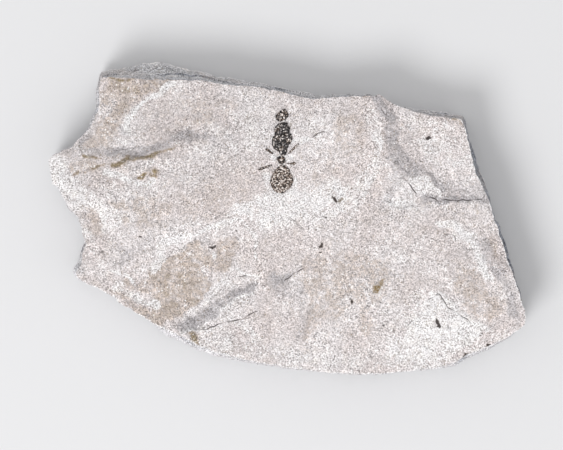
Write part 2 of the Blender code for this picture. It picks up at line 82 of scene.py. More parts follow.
THICKNESS = 6.6            # underside to the bedding face beside the ant
WIDEST = 0.78              # share of the way down the side where the slab is widest
TUCK = 0.7                 # how far the side draws in again below that
BED_SETBACK = (0.0, 0.24, 0.06, 0.0, 0.18)   # how far each bed is set back, top first
LAMINAE = len(BED_SETBACK)
BED_ROWS = (0.04, 0.14, 0.32, 0.5, 0.68, 0.86, 0.96)   # rows of points down each bed
BED_FACE = 0.12            # share of a bed over which its face comes to full relief
BED_RELIEF = 0.40          # how far one bed is set back from the next
SIDE_RELIEF = 0.26         # and the facets that run through all the beds
FLUSH = 0.08               # more of the side lies flush as this grows, and less set back
BED_WAVE = 0.25            # rise and fall of the beds along the side
PARTING_TONE = 0.40        # how much darker the side is where two beds part
PARTING_HALF = 0.1         # half its width, as a share of one lamina
ARRIS_BAND = 0.07          # share of the side's height that its worn edge takes up
SIDE_SHARE = 0.92          # how much of the painted light and shade by facing shows on the sides
UNDER_RIM_SHADE = 0.3            # painted shade under the rim: how much darker the top of a side is
EDGE_RUN = 0.45            # width of the worn edge of the bedding face
EDGE_WEAR = 0.05           # how far that edge is worn down
EDGE_CHIPS = 0.22          # depth of the chips in it
GROOVE_HALF = 0.08         # half the width of a crack

# How places are moved to make lines ragged: (how far, size of the lumps, two seeds)
LINE_FOLDS = ((0.30, 1.5, 11, 13), (0.16, 0.6, 12, 14), (0.07, 0.27, 15, 16))
FLAKE_FOLDS = ((0.6, 1.3, 51, 53), (0.25, 0.5, 52, 54))
CRACK_FOLDS = ((0.10, 0.7, 63, 65), (0.06, 0.3, 64, 66))
MARK_FOLDS = ((0.04, 0.15, 76, 77),)
LUMPS = ((0.036, 0.9, 50), (0.034, 0.50, 57), (0.024, 0.30, 58))   # height, size, seed

# Grain of the stone and of the film: the size of each kind of speck
STONE_CRUMB = 0.60
STONE_SPECKLE = 0.15
STONE_GRIT = 0.12
STONE_CURL = 0.62          # curled edges of the thinnest flakes, drawn with a painted highlight and shade
STONE_SHEET = 3.2          # clouds whose levels are the broken sheets
SHEET_LEVELS = 8.0
STONE_BUMP = 0.09
FILM_BLOTCH = 0.34
FILM_SPECKLE = 0.17
FILM_GRIT = 0.13
FILM_BUMP = 0.06
WHITE_DOT, SOOT_DOT, RUST_DOT = 0.34, 0.50, 0.43

# The calm patch round the ant
SPINE = [(-0.6, 12.9), (-0.7, 3.5)]
CALM_NEAR = 3.3            # the face is level this close to the ant's spine
CALM_FAR = 6.0             # and has its full relief this far away

# Edge of the bedding face, clockwise from the north-west corner: (x, y, flare). Flare
# is how far the foot of the broken side stands out past the edge above it.
OUTLINE = [
    # north side, a wide sloping break at its west end
    (-22.1, 17.0, 0.95), (-20.1, 16.9, 1.3), (-18.5, 16.8, 1.65), (-17.6, 16.8, 2.1),
    (-16.4, 16.7, 2.25), (-15.1, 16.7, 2.3), (-13.4, 16.6, 1.95), (-10.5, 16.6, 1.45),
    (-7.6, 16.1, 1.1), (-4.5, 15.9, 0.75), (-2.1, 15.5, 0.65), (0.3, 14.9, 0.75),
    (1.9, 14.5, 0.9), (3.3, 14.3, 0.75), (3.7, 14.4, 0.3), (4.1, 14.5, 0.55),
    (6.9, 14.6, 0.5), (10.1, 14.7, 0.35),
    # the notch beside the ridge, and the north-east corner
    (11.0, 14.9, -0.15), (11.7, 14.4, -0.15), (12.5, 13.9, -0.15), (13.5, 13.4, 0.2),
    (14.8, 13.0, 0.4), (17.1, 12.3, 0.8), (20.9, 11.9, 0.8),
    # east side, one long clean break
    (21.4, 10.6, 0.4), (21.8, 9.2, 0.5), (22.1, 7.4, 0.7), (22.8, 5.2, 0.75),
    (23.6, 3.4, 0.6), (24.4, 1.5, 0.4), (25.0, -0.4, 0.5), (25.9, -3.3, 0.6),
    (26.5, -5.2, 0.55), (27.2, -7.1, 0.4), (27.9, -9.1, 0.35), (28.4, -10.7, 0.3),
    (28.7, -11.9, -0.1), (28.4, -12.8, -0.15),
    # the bevelled south-east corner
    (27.2, -13.8, 0.3), (25.5, -14.7, 0.45), (23.8, -15.4, 0.65), (21.7, -16.3, 0.7),
    (20.1, -17.3, 0.6),
    # south side, one long curve
    (17.8, -17.9, 0.35), (14.7, -18.3, 0.3), (9.9, -18.7, 0.25), (5.1, -18.5, 0.25),
    (1.5, -18.1, 0.3), (-2.1, -17.6, 0.4), (-5.7, -16.8, 0.6), (-8.6, -16.1, 0.6),
    (-10.6, -15.3, 0.65), (-12.3, -14.4, 0.95), (-13.9, -13.6, 0.9), (-15.2, -13.1, 0.5),
    (-16.5, -12.4, 0.0), (-18.9, -10.9, -0.1), (-20.2, -10.1, -0.1),
    (-21.3, -9.2, -0.1), (-22.5, -8.5, -0.1), (-24.0, -7.9, 0.1), (-25.2, -7.1, 0.3),
    # west side: a blunt knob, a bay, a square tooth and the run up to the corner
    (-25.4, -6.5, 0.55), (-25.2, -6.1, 0.7), (-24.8, -5.5, 0.5), (-24.7, -4.5, 0.5),
    (-24.5, -3.7, 0.5), (-24.1, -3.0, 0.45), (-24.2, -2.3, 0.45), (-24.6, -1.3, 0.45),
    (-25.0, -0.3, 0.35), (-25.7, 0.8, 0.3), (-26.3, 1.4, 0.3), (-26.7, 2.3, 0.3),
    (-27.5, 3.8, 0.3), (-28.3, 4.1, -0.1), (-28.4, 5.2, -0.1), (-28.5, 6.1, -0.1),
    (-28.7, 7.0, -0.1), (-28.1, 7.6, 0.35), (-26.9, 8.2, 0.3), (-25.9, 8.5, 0.3),
    (-25.2, 9.4, 0.3), (-24.3, 10.4, 0.4), (-23.5, 11.3, 0.5), (-23.1, 12.3, 0.5),
    (-22.8, 13.3, 0.55), (-22.7, 14.5, 0.6), (-22.6, 15.7, 0.55), (-22.4, 16.5, 0.5),
]

# Ledges of the bedding face: the line of the crest, and how the stone steps down on the
# left of that line. Rise is the height of the step, width is the run of its slope, and
# reach is how far from the step the levels take to even out. Grey is how grey its slope
# is, as fresh grey stone and as painted shade on slopes that face away from the main
# light, and pale how white its crest is rubbed.
LEDGES = {
    "north_west_corner": dict(
        crest=[(-13.6, 16.6), (-16.4, 14.7), (-18.2, 13.2), (-19.3, 11.6), (-19.7, 9.4)],
        rise=0.30, width=0.9, reach=3.0, taper=1.5, grey=0.0, pale=0.3),
    "north_scarp": dict(
        crest=[(-29.4, 7.0), (-27.3, 7.6), (-24.5, 7.3), (-22.5, 7.4), (-20.7, 7.0),
               (-19.7, 6.6), (-18.3, 6.9), (-16.9, 7.1), (-15.3, 8.2), (-12.9, 9.2),
               (-10.5, 9.5), (-9.0, 9.6)],
        rise=0.44, width=1.5, reach=3.5, taper=3.5, grey=0.45, pale=0.0),
    "west_slope": dict(
        crest=[(-15.9, -3.3), (-18.6, -1.2), (-20.6, 1.0), (-22.6, 3.0), (-25.4, 4.6),
               (-27.8, 6.6)],
        rise=0.45, width=2.2, reach=3.0, taper=2.5, grey=0.0, pale=0.0),
    "middle_slope": dict(
        crest=[(-1.0, 1.6), (-4.6, 2.0), (-8.4, 0.3), (-13.0, -1.1), (-17.0, -1.9)],
        rise=0.22, width=2.6, reach=4.0, taper=3.0, grey=0.0, pale=0.0),
    "diagonal_scarp": dict(
        crest=[(-14.1, -14.1), (-13.0, -13.3), (-11.5, -12.9), (-10.2, -12.0),
               (-8.8, -11.1), (-6.7, -9.8), (-5.6, -9.2), (-3.9, -8.7), (-2.7, -8.3)],
        rise=0.50, width=1.5, reach=3.5, taper=2.2, grey=0.5, pale=0.6),
    "hollow_edge": dict(
        crest=[(-1.6, -9.2), (0.2, -8.7), (1.7, -6.6), (3.4, -5.6), (4.6, -4.8)],
        rise=0.12, width=1.6, reach=2.2, taper=1.6, grey=0.2, pale=0.0),
    "south_line": dict(
        crest=[(1.9, -8.6), (2.4, -11.2), (1.9, -13.6), (1.5, -16.2)],
        rise=0.16, width=0.8, reach=2.6, taper=1.8, grey=0.3, pale=0.0),
    "ridge_scarp": dict(
        crest=[(10.2, 16.2), (10.5, 14.7), (10.8, 13.5), (11.1, 12.2), (11.4, 10.8),
               (11.4, 9.7), (11.6, 8.1), (12.7, 7.0), (13.1, 5.9), (14.2, 5.2),
               (16.5, 4.9), (17.9, 3.7), (18.9, 2.5), (20.1, 2.0), (22.5, 2.2),
               (25.6, 2.3)],
        rise=0.52, width=1.7, reach=4.0, taper=0.6, grey=0.35, pale=0.1),
    "small_hollow": dict(
        crest=[(11.2, 1.9), (11.7, 1.7), (12.4, 1.5), (13.1, 1.0), (14.2, 1.1),
               (15.7, 1.5), (16.9, 2.0)],
        rise=0.20, width=0.5, reach=1.6, taper=1.2, grey=0.6, pale=0.2),
    "east_arc": dict(
        crest=[(23.9, -7.4), (23.1, -5.0), (22.5, -2.6), (20.7, -1.1), (18.3, -0.8)],
        rise=0.20, width=1.2, reach=2.2, taper=1.5, grey=0.0, pale=0.5),
    "east_slope": dict(
        crest=[(22.8, -0.8), (23.8, -3.6), (25.0, -6.2), (26.1, -8.9), (26.8, -12.0)],
        rise=0.26, width=1.9, reach=2.4, taper=1.5, grey=0.4, pale=0.0),
}

# Sheets of the next bed up (rise above zero) or scars down to the bed below (under
# zero), each inside its own outline. Edge is the run of the step round it.
SHEETS = {
    "brown_sheet": dict(
        rise=0.12, edge=0.35,
        outline=[(-16.4, -6.0), (-13.9, -4.5), (-12.1, -3.8), (-11.6, -2.6), (-9.7, -3.1),
                 (-8.1, -2.8), (-6.1, -2.1), (-6.2, -4.4), (-7.1, -6.0), (-9.2, -6.8),
                 (-9.3, -7.9), (-10.1, -9.4), (-11.3, -10.7), (-13.5, -12.1),
                 (-16.6, -11.4), (-16.9, -8.6)]),
    "pale_plate": dict(
        rise=0.14, edge=0.3,
        outline=[(14.0, 4.9), (16.5, 5.1), (17.8, 4.1), (18.8, 2.7), (17.3, 2.2),
                 (15.9, 2.6), (14.9, 3.5)]),
    "south_east_sheet": dict(
        rise=0.14, edge=0.5,
        outline=[(18.3, -8.7), (21.0, -11.2), (24.6, -13.4), (20.4, -15.9),
                 (17.0, -17.2), (14.0, -14.6), (16.0, -11.4)]),
    "oval_scar": dict(
        rise=-0.12, edge=1.3,
        outline=[(3.2, 8.6), (5.2, 8.9), (6.8, 7.4), (6.7, 4.4), (5.2, 2.9), (3.2, 3.4),
                 (2.0, 5.6)]),
    "north_sheet": dict(
        rise=0.08, edge=0.5,
        outline=[(4.8, 11.9), (7.4, 12.6), (9.0, 11.2), (8.9, 8.0), (7.6, 8.4),
                 (6.1, 10.3)]),
    "south_scar": dict(
        rise=-0.14, edge=0.4,
        outline=[(-4.7, -10.8), (-2.4, -10.9), (-1.5, -13.6), (-3.0, -16.0),
                 (-6.0, -15.2), (-7.3, -13.0)]),
    "far_west_scar": dict(
        rise=-0.16, edge=0.4,
        outline=[(-24.6, 1.8), (-23.2, 1.5), (-22.3, -0.6), (-22.8, -2.3), (-24.3, -0.9)]),
    "south_west_scar": dict(
        rise=-0.15, edge=0.5,
        outline=[(-20.6, -7.2), (-18.0, -6.9), (-17.3, -9.6), (-18.9, -11.2),
                 (-21.4, -9.8)]),
}

# Low swells and dips of the whole face: (x, y, radius, height)
SWELLS = [
    (-24.0, 15.5, 5.0, -0.25), (-6.0, 12.5, 6.0, -0.12), (9.2, 12.0, 3.4, 0.22),
    (-26.0, -5.5, 4.0, -0.35), (-9.0, -15.5, 4.0, -0.30), (14.0, -14.0, 8.0, 0.15),
    (26.0, -12.5, 4.0, -0.35), (9.0, -5.0, 8.0, 0.12), (-20.0, 4.5, 4.0, 0.10),
]

# Scars in the underside, clear of its flat middle: (x, y, radius, depth)
UNDERSIDE_SCARS = [
    (-24.0, 3.0, 5.5, 0.9), (-15.0, 15.5, 5.5, 0.8), (24.5, 8.5, 5.0, 0.7),
    (-15.5, -13.5, 4.6, 0.8), (26.5, -10.5, 4.6, 0.9), (6.0, -18.5, 4.2, 0.6),
]

# Colour of the bedding face ---------------------------------------------------------
# Bands along lines: (half width in millimetres, strength, line)

WHITE_BANDS = {
    "north_west_arc": (0.50, 0.9, [(-13.7, 16.1), (-14.9, 15.7), (-16.3, 14.7),
        (-18.1, 13.4), (-19.0, 11.9), (-19.5, 10.3)]),
    "arc_foot": (0.45, 0.6, [(-20.6, 9.5), (-19.7, 9.1), (-18.9, 9.1)]),
    "west_band": (1.20, 0.62, [(-28.3, 7.0), (-27.3, 4.9), (-25.1, 3.4), (-23.0, 2.0),
        (-21.3, -0.2)]),
    "west_rim": (0.40, 0.4, [(-26.6, 3.4), (-25.6, 1.6), (-24.7, -0.8), (-24.4, -2.6)]),
    "west_low": (0.80, 0.35, [(-24.4, -2.1), (-23.3, -3.8), (-22.5, -5.5)]),
    "knob": (0.50, 0.4, [(-25.4, -6.4), (-23.9, -6.9)]),
    "south_west_line": (0.25, 0.8, [(-21.5, -5.9), (-20.1, -6.5), (-18.9, -7.4),
        (-18.2, -8.1)]),
    "south_west_patch": (0.60, 0.6, [(-20.3, -8.1), (-19.1, -9.3), (-16.5, -10.3)]),
    "under_north_scarp": (0.50, 0.8, [(-21.5, 5.6), (-20.1, 5.1), (-18.9, 4.5),
        (-17.0, 4.1), (-16.3, 4.4)]),
    "middle_arc": (0.45, 0.7, [(-15.9, -6.2), (-15.3, -4.7), (-14.9, -2.9), (-12.9, -2.2),
        (-10.5, -1.5), (-7.9, -0.7), (-5.7, -0.3), (-4.5, -1.1), (-3.9, -2.6),
        (-4.0, -4.5)]),
    "middle_rise": (1.10, 0.6, [(-6.7, 0.4), (-4.5, 1.3), (-2.1, 2.2), (0.5, 2.7)]),
    "ant_apron": (1.30, 0.7, [(-3.1, 1.6), (-0.3, 0.8), (2.7, 1.7), (5.1, 3.4)]),
    "ridge_west": (0.80, 0.5, [(10.2, 12.4), (10.9, 9.4), (10.3, 6.1), (8.9, 2.7)]),
    "ridge_curve": (0.12, 0.9, [(12.2, 10.7), (12.5, 9.7), (13.0, 8.8)]),
    "ridge_foot": (0.70, 0.6, [(12.5, 5.0), (13.7, 4.1), (14.7, 2.7), (13.3, 1.9)]),
    "hollow_lip": (0.30, 0.7, [(11.6, 2.2), (12.5, 1.7), (13.5, 1.4), (14.9, 1.6)]),
    "east_arc": (0.55, 0.9, [(18.3, -0.9), (19.7, -0.9), (21.2, -1.6), (22.4, -3.1),
        (23.2, -5.2), (23.9, -7.4)]),
    "east_fan": (0.50, 0.5, [(19.9, -1.9), (21.7, -2.6), (23.1, -4.0)]),
    "plateau_west": (0.55, 0.7, [(18.3, -9.1), (16.9, -10.0), (15.7, -11.9), (14.1, -14.6),
        (12.1, -16.5)]),
    "plateau_east": (0.40, 0.6, [(18.3, -9.1), (19.7, -10.3), (21.7, -11.9),
        (24.1, -13.4)]),
    "plateau_south": (0.80, 0.5, [(12.9, -17.2), (16.5, -17.9), (20.1, -17.2)]),
    "diagonal_rim": (0.22, 1.0, [(-12.9, -13.7), (-11.5, -13.3), (-10.1, -12.4),
        (-8.8, -11.5), (-7.5, -10.6), (-6.7, -10.1), (-5.6, -9.5), (-3.9, -9.0)]),
    "right_leg_line": (0.20, 1.0, [(1.5, 9.0), (2.1, 9.25), (2.8, 9.55)]),
    "arch": (0.22, 0.9, [(17.4, -8.9), (18.2, -8.8), (19.1, -9.6), (20.0, -10.8),
        (21.5, -11.9), (23.0, -13.0)]),
    "plate_side": (0.30, 0.7, [(21.2, 7.8), (22.0, 7.2), (22.4, 6.4)]),
    # Painted highlight: the lit south-west-facing side at this corner, painted white on the
    # face
    "lit_corner_wedge": (0.75, 1.0, [(-15.3, -13.5), (-13.9, -14.2), (-12.4, -15.1),
        (-10.7, -15.7)]),
    "south_middle": (0.90, 0.4, [(-6.7, -12.2), (-4.5, -13.4), (-3.1, -15.5)]),
    "small_step": (0.25, 0.7, [(-6.1, -6.3), (-5.0, -6.8), (-3.5, -7.0)]),
    "right_leg_halo": (0.22, 0.9, [(0.5, 9.2), (1.0, 9.4), (1.6, 9.5), (2.9, 9.6)]),
    "waist_halo": (0.35, 0.8, [(-1.7, 7.5), (-1.2, 7.4), (0.2, 7.2), (0.5, 7.4)]),
    "gaster_halo": (0.40, 0.6, [(-2.3, 5.0), (-2.0, 3.4), (-0.8, 2.7), (0.5, 3.3),
        (1.0, 4.8)]),
}

BROWN_BANDS = {
    "north_crest": (0.36, 1.0, [(-20.9, 6.6), (-19.9, 6.7), (-19.1, 7.05), (-18.3, 7.25),
        (-17.2, 7.35), (-16.5, 7.4), (-15.8, 7.8)]),
    "north_crest_east": (0.30, 0.9, [(-15.8, 7.8), (-15.0, 8.05), (-14.2, 8.5),
        (-13.5, 8.8)]),
    "north_crest_west": (0.26, 1.0, [(-24.3, 7.5), (-23.3, 7.3), (-22.3, 7.0)]),
    "north_crest_top": (0.18, 0.9, [(-20.9, 7.4), (-20.2, 7.5)]),
    "north_crest_low": (0.24, 0.85, [(-23.7, 6.0), (-22.8, 6.2), (-21.8, 6.5)]),
    "west_crest": (0.26, 0.9, [(-25.4, 5.4), (-24.6, 5.5)]),
    "first_blob": (0.34, 1.0, [(-17.9, 4.9), (-17.5, 5.0), (-17.0, 5.3)]),
    "second_blob": (0.42, 1.0, [(-16.4, 5.1), (-16.0, 5.2), (-15.8, 5.6)]),
    "corner_top": (0.95, 0.72, [(-21.1, 16.1), (-19.5, 15.7), (-17.7, 15.4), (-16.3, 15.9),
        (-15.3, 16.5)]),
    "corner_low": (0.80, 0.66, [(-19.9, 13.5), (-20.8, 12.3), (-21.5, 10.9)]),
    "south_west_rim": (0.40, 0.5, [(-20.6, -8.6), (-18.9, -9.8), (-17.0, -11.1),
        (-15.1, -12.4)]),
    "south_wedge": (0.32, 0.9, [(-11.8, -13.4), (-11.3, -14.2), (-10.6, -14.9)]),
    "north_rim": (0.24, 0.95, [(-21.9, 17.1), (-19.5, 16.7), (-16.5, 16.6), (-14.1, 16.7)]),
    "notch_rim": (0.22, 1.0, [(9.2, 14.7), (10.1, 14.8), (11.0, 14.9)]),
    "north_east_rim": (0.22, 0.9, [(19.7, 12.1), (20.8, 11.9), (21.1, 11.3)]),
}

# Grey bands: fresh grey stone, and painted shade on slopes that face away from the main
# light, as on the ridge, beside the plate and on the north scarp
GREY_AND_SHADE_BANDS = {
    "north_scarp": (0.80, 0.75, [(-23.6, 8.0), (-22.0, 7.8), (-20.0, 7.9), (-18.0, 8.1),
        (-16.5, 8.5), (-15.0, 8.9), (-13.8, 9.3), (-12.0, 9.7), (-10.0, 9.9)]),
    "north_scarp_end": (0.60, 0.4, [(-10.0, 9.9), (-8.4, 9.7), (-7.4, 9.3)]),
    "diagonal": (0.66, 1.0, [(-13.0, -13.1), (-11.6, -12.5), (-9.7, -11.4), (-8.1, -10.2),
        (-6.1, -9.2), (-4.3, -8.5)]),
    "diagonal_foot": (0.45, 1.0, [(-12.8, -13.2), (-11.6, -12.9), (-10.6, -12.2)]),
    "diagonal_top": (0.22, 0.9, [(-7.4, -9.3), (-6.0, -8.7), (-4.6, -8.0), (-3.6, -7.8)]),
    "dark_hollow": (1.20, 0.62, [(-1.3, -7.4), (-0.4, -7.7), (-0.7, -8.4)]),
    "hollow_line": (0.40, 0.55, [(-0.8, -7.2), (0.5, -6.7), (1.6, -6.1)]),
    "ridge_top": (0.80, 0.9, [(10.6, 15.0), (11.0, 13.6), (11.7, 12.6), (12.3, 11.6)]),
    "ridge": (1.30, 0.75, [(12.3, 12.0), (12.6, 10.2), (12.8, 8.6), (13.4, 7.2),
        (14.2, 6.3), (15.3, 5.6)]),
    "ridge_side": (1.2, 0.45, [(14.6, 10.6), (14.6, 9.0), (15.2, 7.6), (16.4, 6.2)]),
    "plate_shade": (0.45, 0.85, [(16.2, 5.5), (17.2, 5.2), (18.0, 4.5), (18.6, 3.5)]),
    "beside_plate": (1.2, 0.45, [(19.4, 4.4), (21.0, 3.6), (23.2, 3.2)]),
    "hollow": (0.50, 1.0, [(16.3, 2.4), (17.3, 2.5), (18.1, 2.15), (19.2, 2.25),
        (20.6, 2.2), (22.0, 2.3), (23.6, 2.3)]),
    "east_band": (0.70, 0.60, [(23.4, -2.8), (24.3, -4.6), (25.4, -6.8), (26.4, -8.8),
        (27.0, -10.6), (27.4, -12.4)]),
    "west_lavender": (1.1, 0.35, [(-26.0, -6.2), (-24.4, -6.4), (-23.6, -5.0),
        (-23.8, -3.4)]),
    "north_west_edge": (0.45, 0.55, [(-24.6, 9.2), (-23.8, 10.6), (-23.2, 12.2),
        (-22.9, 14.4)]),
    "low_grey": (0.80, 0.4, [(1.5, -8.0), (2.0, -11.0), (1.5, -14.6)]),
    "west_grey": (0.90, 0.5, [(-20.1, -5.2), (-18.7, -4.0), (-16.7, -3.1)]),
    "ridge_south": (0.70, 0.5, [(13.0, 5.8), (12.5, 3.4), (11.6, 1.7)]),
    "arc_grey": (0.55, 0.6, [(-19.9, 10.9), (-19.6, 9.7), (-18.9, 8.7)]),
}

# Areas inside outlines: (run of the edge in millimetres, strength, outline)
BROWN_AREAS = {
    "brown_sheet": (0.5, 0.68, [(-16.4, -6.0), (-13.9, -4.5), (-12.2, -4.2), (-10.2, -6.3),
        (-9.3, -7.9), (-10.1, -9.4), (-11.3, -10.7), (-13.5, -12.1), (-15.4, -12.3),
        (-16.6, -11.4), (-15.7, -9.8), (-16.9, -8.6)]),
    "brown_core": (1.4, 0.74, [(-14.9, -5.6), (-12.4, -5.8), (-11.4, -8.4), (-12.8, -11.2),
        (-14.8, -10.6), (-15.4, -8.0)]),
    "brown_lobe": (0.5, 0.60, [(-12.2, -4.2), (-11.6, -2.7), (-9.8, -3.1), (-9.3, -4.2),
        (-8.5, -4.0), (-8.1, -2.8), (-6.2, -2.1), (-6.2, -4.4), (-7.1, -6.0), (-9.2, -6.6),
        (-10.4, -5.6)]),
    "brown_rim": (0.5, 0.62, [(-20.4, -9.2), (-19.6, -7.4), (-18.4, -8.1), (-17.0, -7.6),
        (-16.6, -8.7), (-17.6, -9.2), (-18.7, -8.9), (-18.4, -10.2), (-16.6, -11.2),
        (-15.1, -12.4), (-15.4, -13.0), (-17.9, -11.5)]),
    "west_corner": (1.2, 0.50, [(-24.6, 8.4), (-20.6, 8.6), (-20.2, 11.2), (-21.4, 12.6),
        (-23.2, 12.0)]),
    "north_west": (1.4, 0.45, [(-22.1, 16.4), (-19.5, 16.9), (-14.3, 16.6), (-16.5, 15.1),
        (-18.4, 13.5), (-19.4, 11.8), (-20.3, 9.4), (-22.5, 8.9), (-22.7, 11.8),
        (-22.5, 14.2)]),
    "west_middle": (1.6, 0.35, [(-21.5, 1.5), (-18.3, 2.7), (-14.7, 2.2), (-14.1, 0.5),
        (-16.5, -0.9), (-20.1, -0.7)]),
    "west_stain": (0.9, 0.35, [(-24.7, 0.8), (-22.7, 1.3), (-22.0, -1.1), (-23.7, -2.1)]),
    "centre": (2.0, 0.22, [(-12.9, 3.4), (-8.7, 4.6), (-5.1, 3.9), (-6.3, 1.6),
        (-10.5, -0.4), (-13.1, 0.5)]),
    "ridge_patch": (1.2, 0.35, [(5.1, 11.6), (7.7, 12.5), (9.7, 11.6), (9.2, 9.2),
        (7.7, 7.3), (6.1, 8.7)]),
    "oval": (1.4, 0.15, [(2.0, 8.2), (4.1, 9.2), (6.5, 8.0), (6.8, 5.2), (4.9, 3.2),
        (2.5, 4.1)]),
    "south_centre": (1.6, 0.40, [(1.5, -5.2), (5.1, -3.8), (10.1, -4.5), (12.5, -6.9),
        (11.1, -9.8), (7.5, -11.0), (4.1, -12.4), (2.9, -15.8), (1.5, -15.2),
        (2.2, -11.0)]),
    "east_low": (1.4, 0.45, [(20.1, -5.9), (22.5, -6.4), (24.3, -8.6), (26.1, -10.7),
        (25.5, -12.4), (22.9, -11.9), (20.9, -9.8)]),
    "east_rim": (0.6, 0.45, [(24.1, -0.9), (25.1, -3.3), (26.1, -5.9), (25.0, -5.2),
        (23.8, -2.8)]),
    "north_middle": (1.8, 0.30, [(-12.9, 14.2), (-8.7, 14.7), (-6.9, 13.0), (-9.9, 10.9),
        (-12.9, 11.3)]),
    "south_patches": (0.8, 0.40, [(8.7, -11.0), (10.1, -11.2), (9.9, -13.6), (8.9, -14.1)]),
    "far_west": (0.8, 0.45, [(-26.1, 7.0), (-23.5, 7.0), (-22.5, 6.1), (-24.4, 5.2),
        (-26.1, 5.6)]),
}

WHITE_AREAS = {
    "plateau": (1.4, 0.75, [(18.3, -9.0), (20.9, -11.4), (23.8, -13.4), (20.2, -16.1),
        (16.8, -17.6), (12.4, -17.0), (15.2, -12.6)]),
    "south_edge": (1.6, 0.35, [(-9.0, -15.6), (-3.0, -16.8), (3.0, -17.8), (9.0, -18.2),
        (9.0, -16.0), (0.0, -15.4), (-8.0, -13.4)]),
    "below_ant": (1.8, 0.55, [(-4.0, 2.2), (0.0, 2.4), (5.4, 3.6), (9.0, 5.0), (8.4, 0.6),
        (3.0, -0.6), (-3.6, -1.6)]),
    "east_plateau": (1.8, 0.45, [(17.0, -8.2), (15.0, -9.5), (12.6, -13.0), (11.6, -17.6),
        (14.0, -17.4), (16.0, -11.5)]),
    "north_east": (1.8, 0.40, [(14.0, 12.2), (20.4, 11.4), (22.0, 7.0), (21.0, 5.6),
        (17.4, 6.4), (15.6, 8.6)]),
    "south_east": (1.4, 0.50, [(20.4, -15.8), (24.0, -14.4), (27.6, -12.6), (26.6, -13.9),
        (21.8, -16.2)]),
    "rim_hole_west": (0.4, 0.75, [(-18.9, -8.9), (-17.7, -9.3), (-17.5, -10.1),
        (-18.6, -9.9)]),
    "rim_hole_east": (0.4, 0.9, [(-16.5, -9.6), (-15.4, -9.8), (-15.2, -10.9),
        (-16.2, -11.0)]),
    "lobe_hole": (0.4, 0.9, [(-9.2, -4.1), (-8.6, -4.1), (-8.5, -4.8), (-9.1, -4.9)]),
    "beside_diagonal": (0.8, 0.48, [(-8.6, -7.4), (-6.4, -7.2), (-4.2, -7.3), (-6.6, -8.6),
        (-9.2, -10.2), (-11.4, -11.6), (-9.9, -9.6)]),
    "pale_plate": (0.4, 0.60, [(14.0, 4.9), (16.5, 5.1), (17.8, 4.1), (18.8, 2.7),
        (17.3, 2.2), (15.9, 2.6), (14.9, 3.5)]),
    "left_of_ant": (1.4, 0.25, [(-4.6, 13.0), (-2.4, 13.4), (-2.6, 8.8), (-4.4, 7.4),
        (-6.0, 9.4)]),
}

# Where the whole face is a little lighter or darker: (x, y, half width, half height, how
# much lighter)
SHADES = [
    (-12.0, 12.0, 13.0, 5.0, -0.10), (-14.0, 5.0, 8.0, 2.5, -0.05),
    (5.0, 12.5, 6.0, 2.5, -0.05), (-26.5, 1.0, 2.8, 7.0, -0.12),
    (-9.0, -15.2, 6.0, 1.8, -0.08), (-20.0, -2.0, 3.0, 2.0, -0.06),
    (13.0, 0.8, 4.0, 1.8, -0.05), (20.5, 1.2, 4.0, 1.4, -0.05),
    (-12.2, -13.3, 1.3, 0.7, -0.28), (-17.6, 7.5, 3.4, 0.5, -0.14),
    (-21.0, 7.9, 3.0, 0.6, -0.08), (-6.5, 2.6, 3.0, 1.4, 0.05), (5.0, 5.0, 3.0, 2.4, 0.04),
    (11.4, 3.6, 1.8, 1.6, 0.07), (17.0, -12.0, 6.0, 4.0, 0.03),
    (24.0, -12.2, 2.4, 1.2, 0.06), (-5.0, 8.0, 3.5, 4.5, -0.04),
    (-13.4, -14.3, 1.8, 0.7, 0.08), (-20.0, -3.0, 3.4, 2.0, -0.05),
    (21.5, -4.5, 4.0, 4.0, -0.05), (-8.0, -9.6, 5.0, 2.6, -0.05),
    (12.0, -6.0, 6.0, 4.0, -0.03), (-21.0, 4.0, 4.0, 2.0, -0.05),
    (13.6, 9.0, 2.0, 3.5, -0.05), (-19.5, -10.8, 4.5, 2.2, -0.08),
    (-2.0, -17.6, 13.0, 1.2, -0.06), (16.0, -17.6, 8.0, 1.4, -0.06),
    (-7.4, -6.4, 2.0, 1.4, -0.05),
]

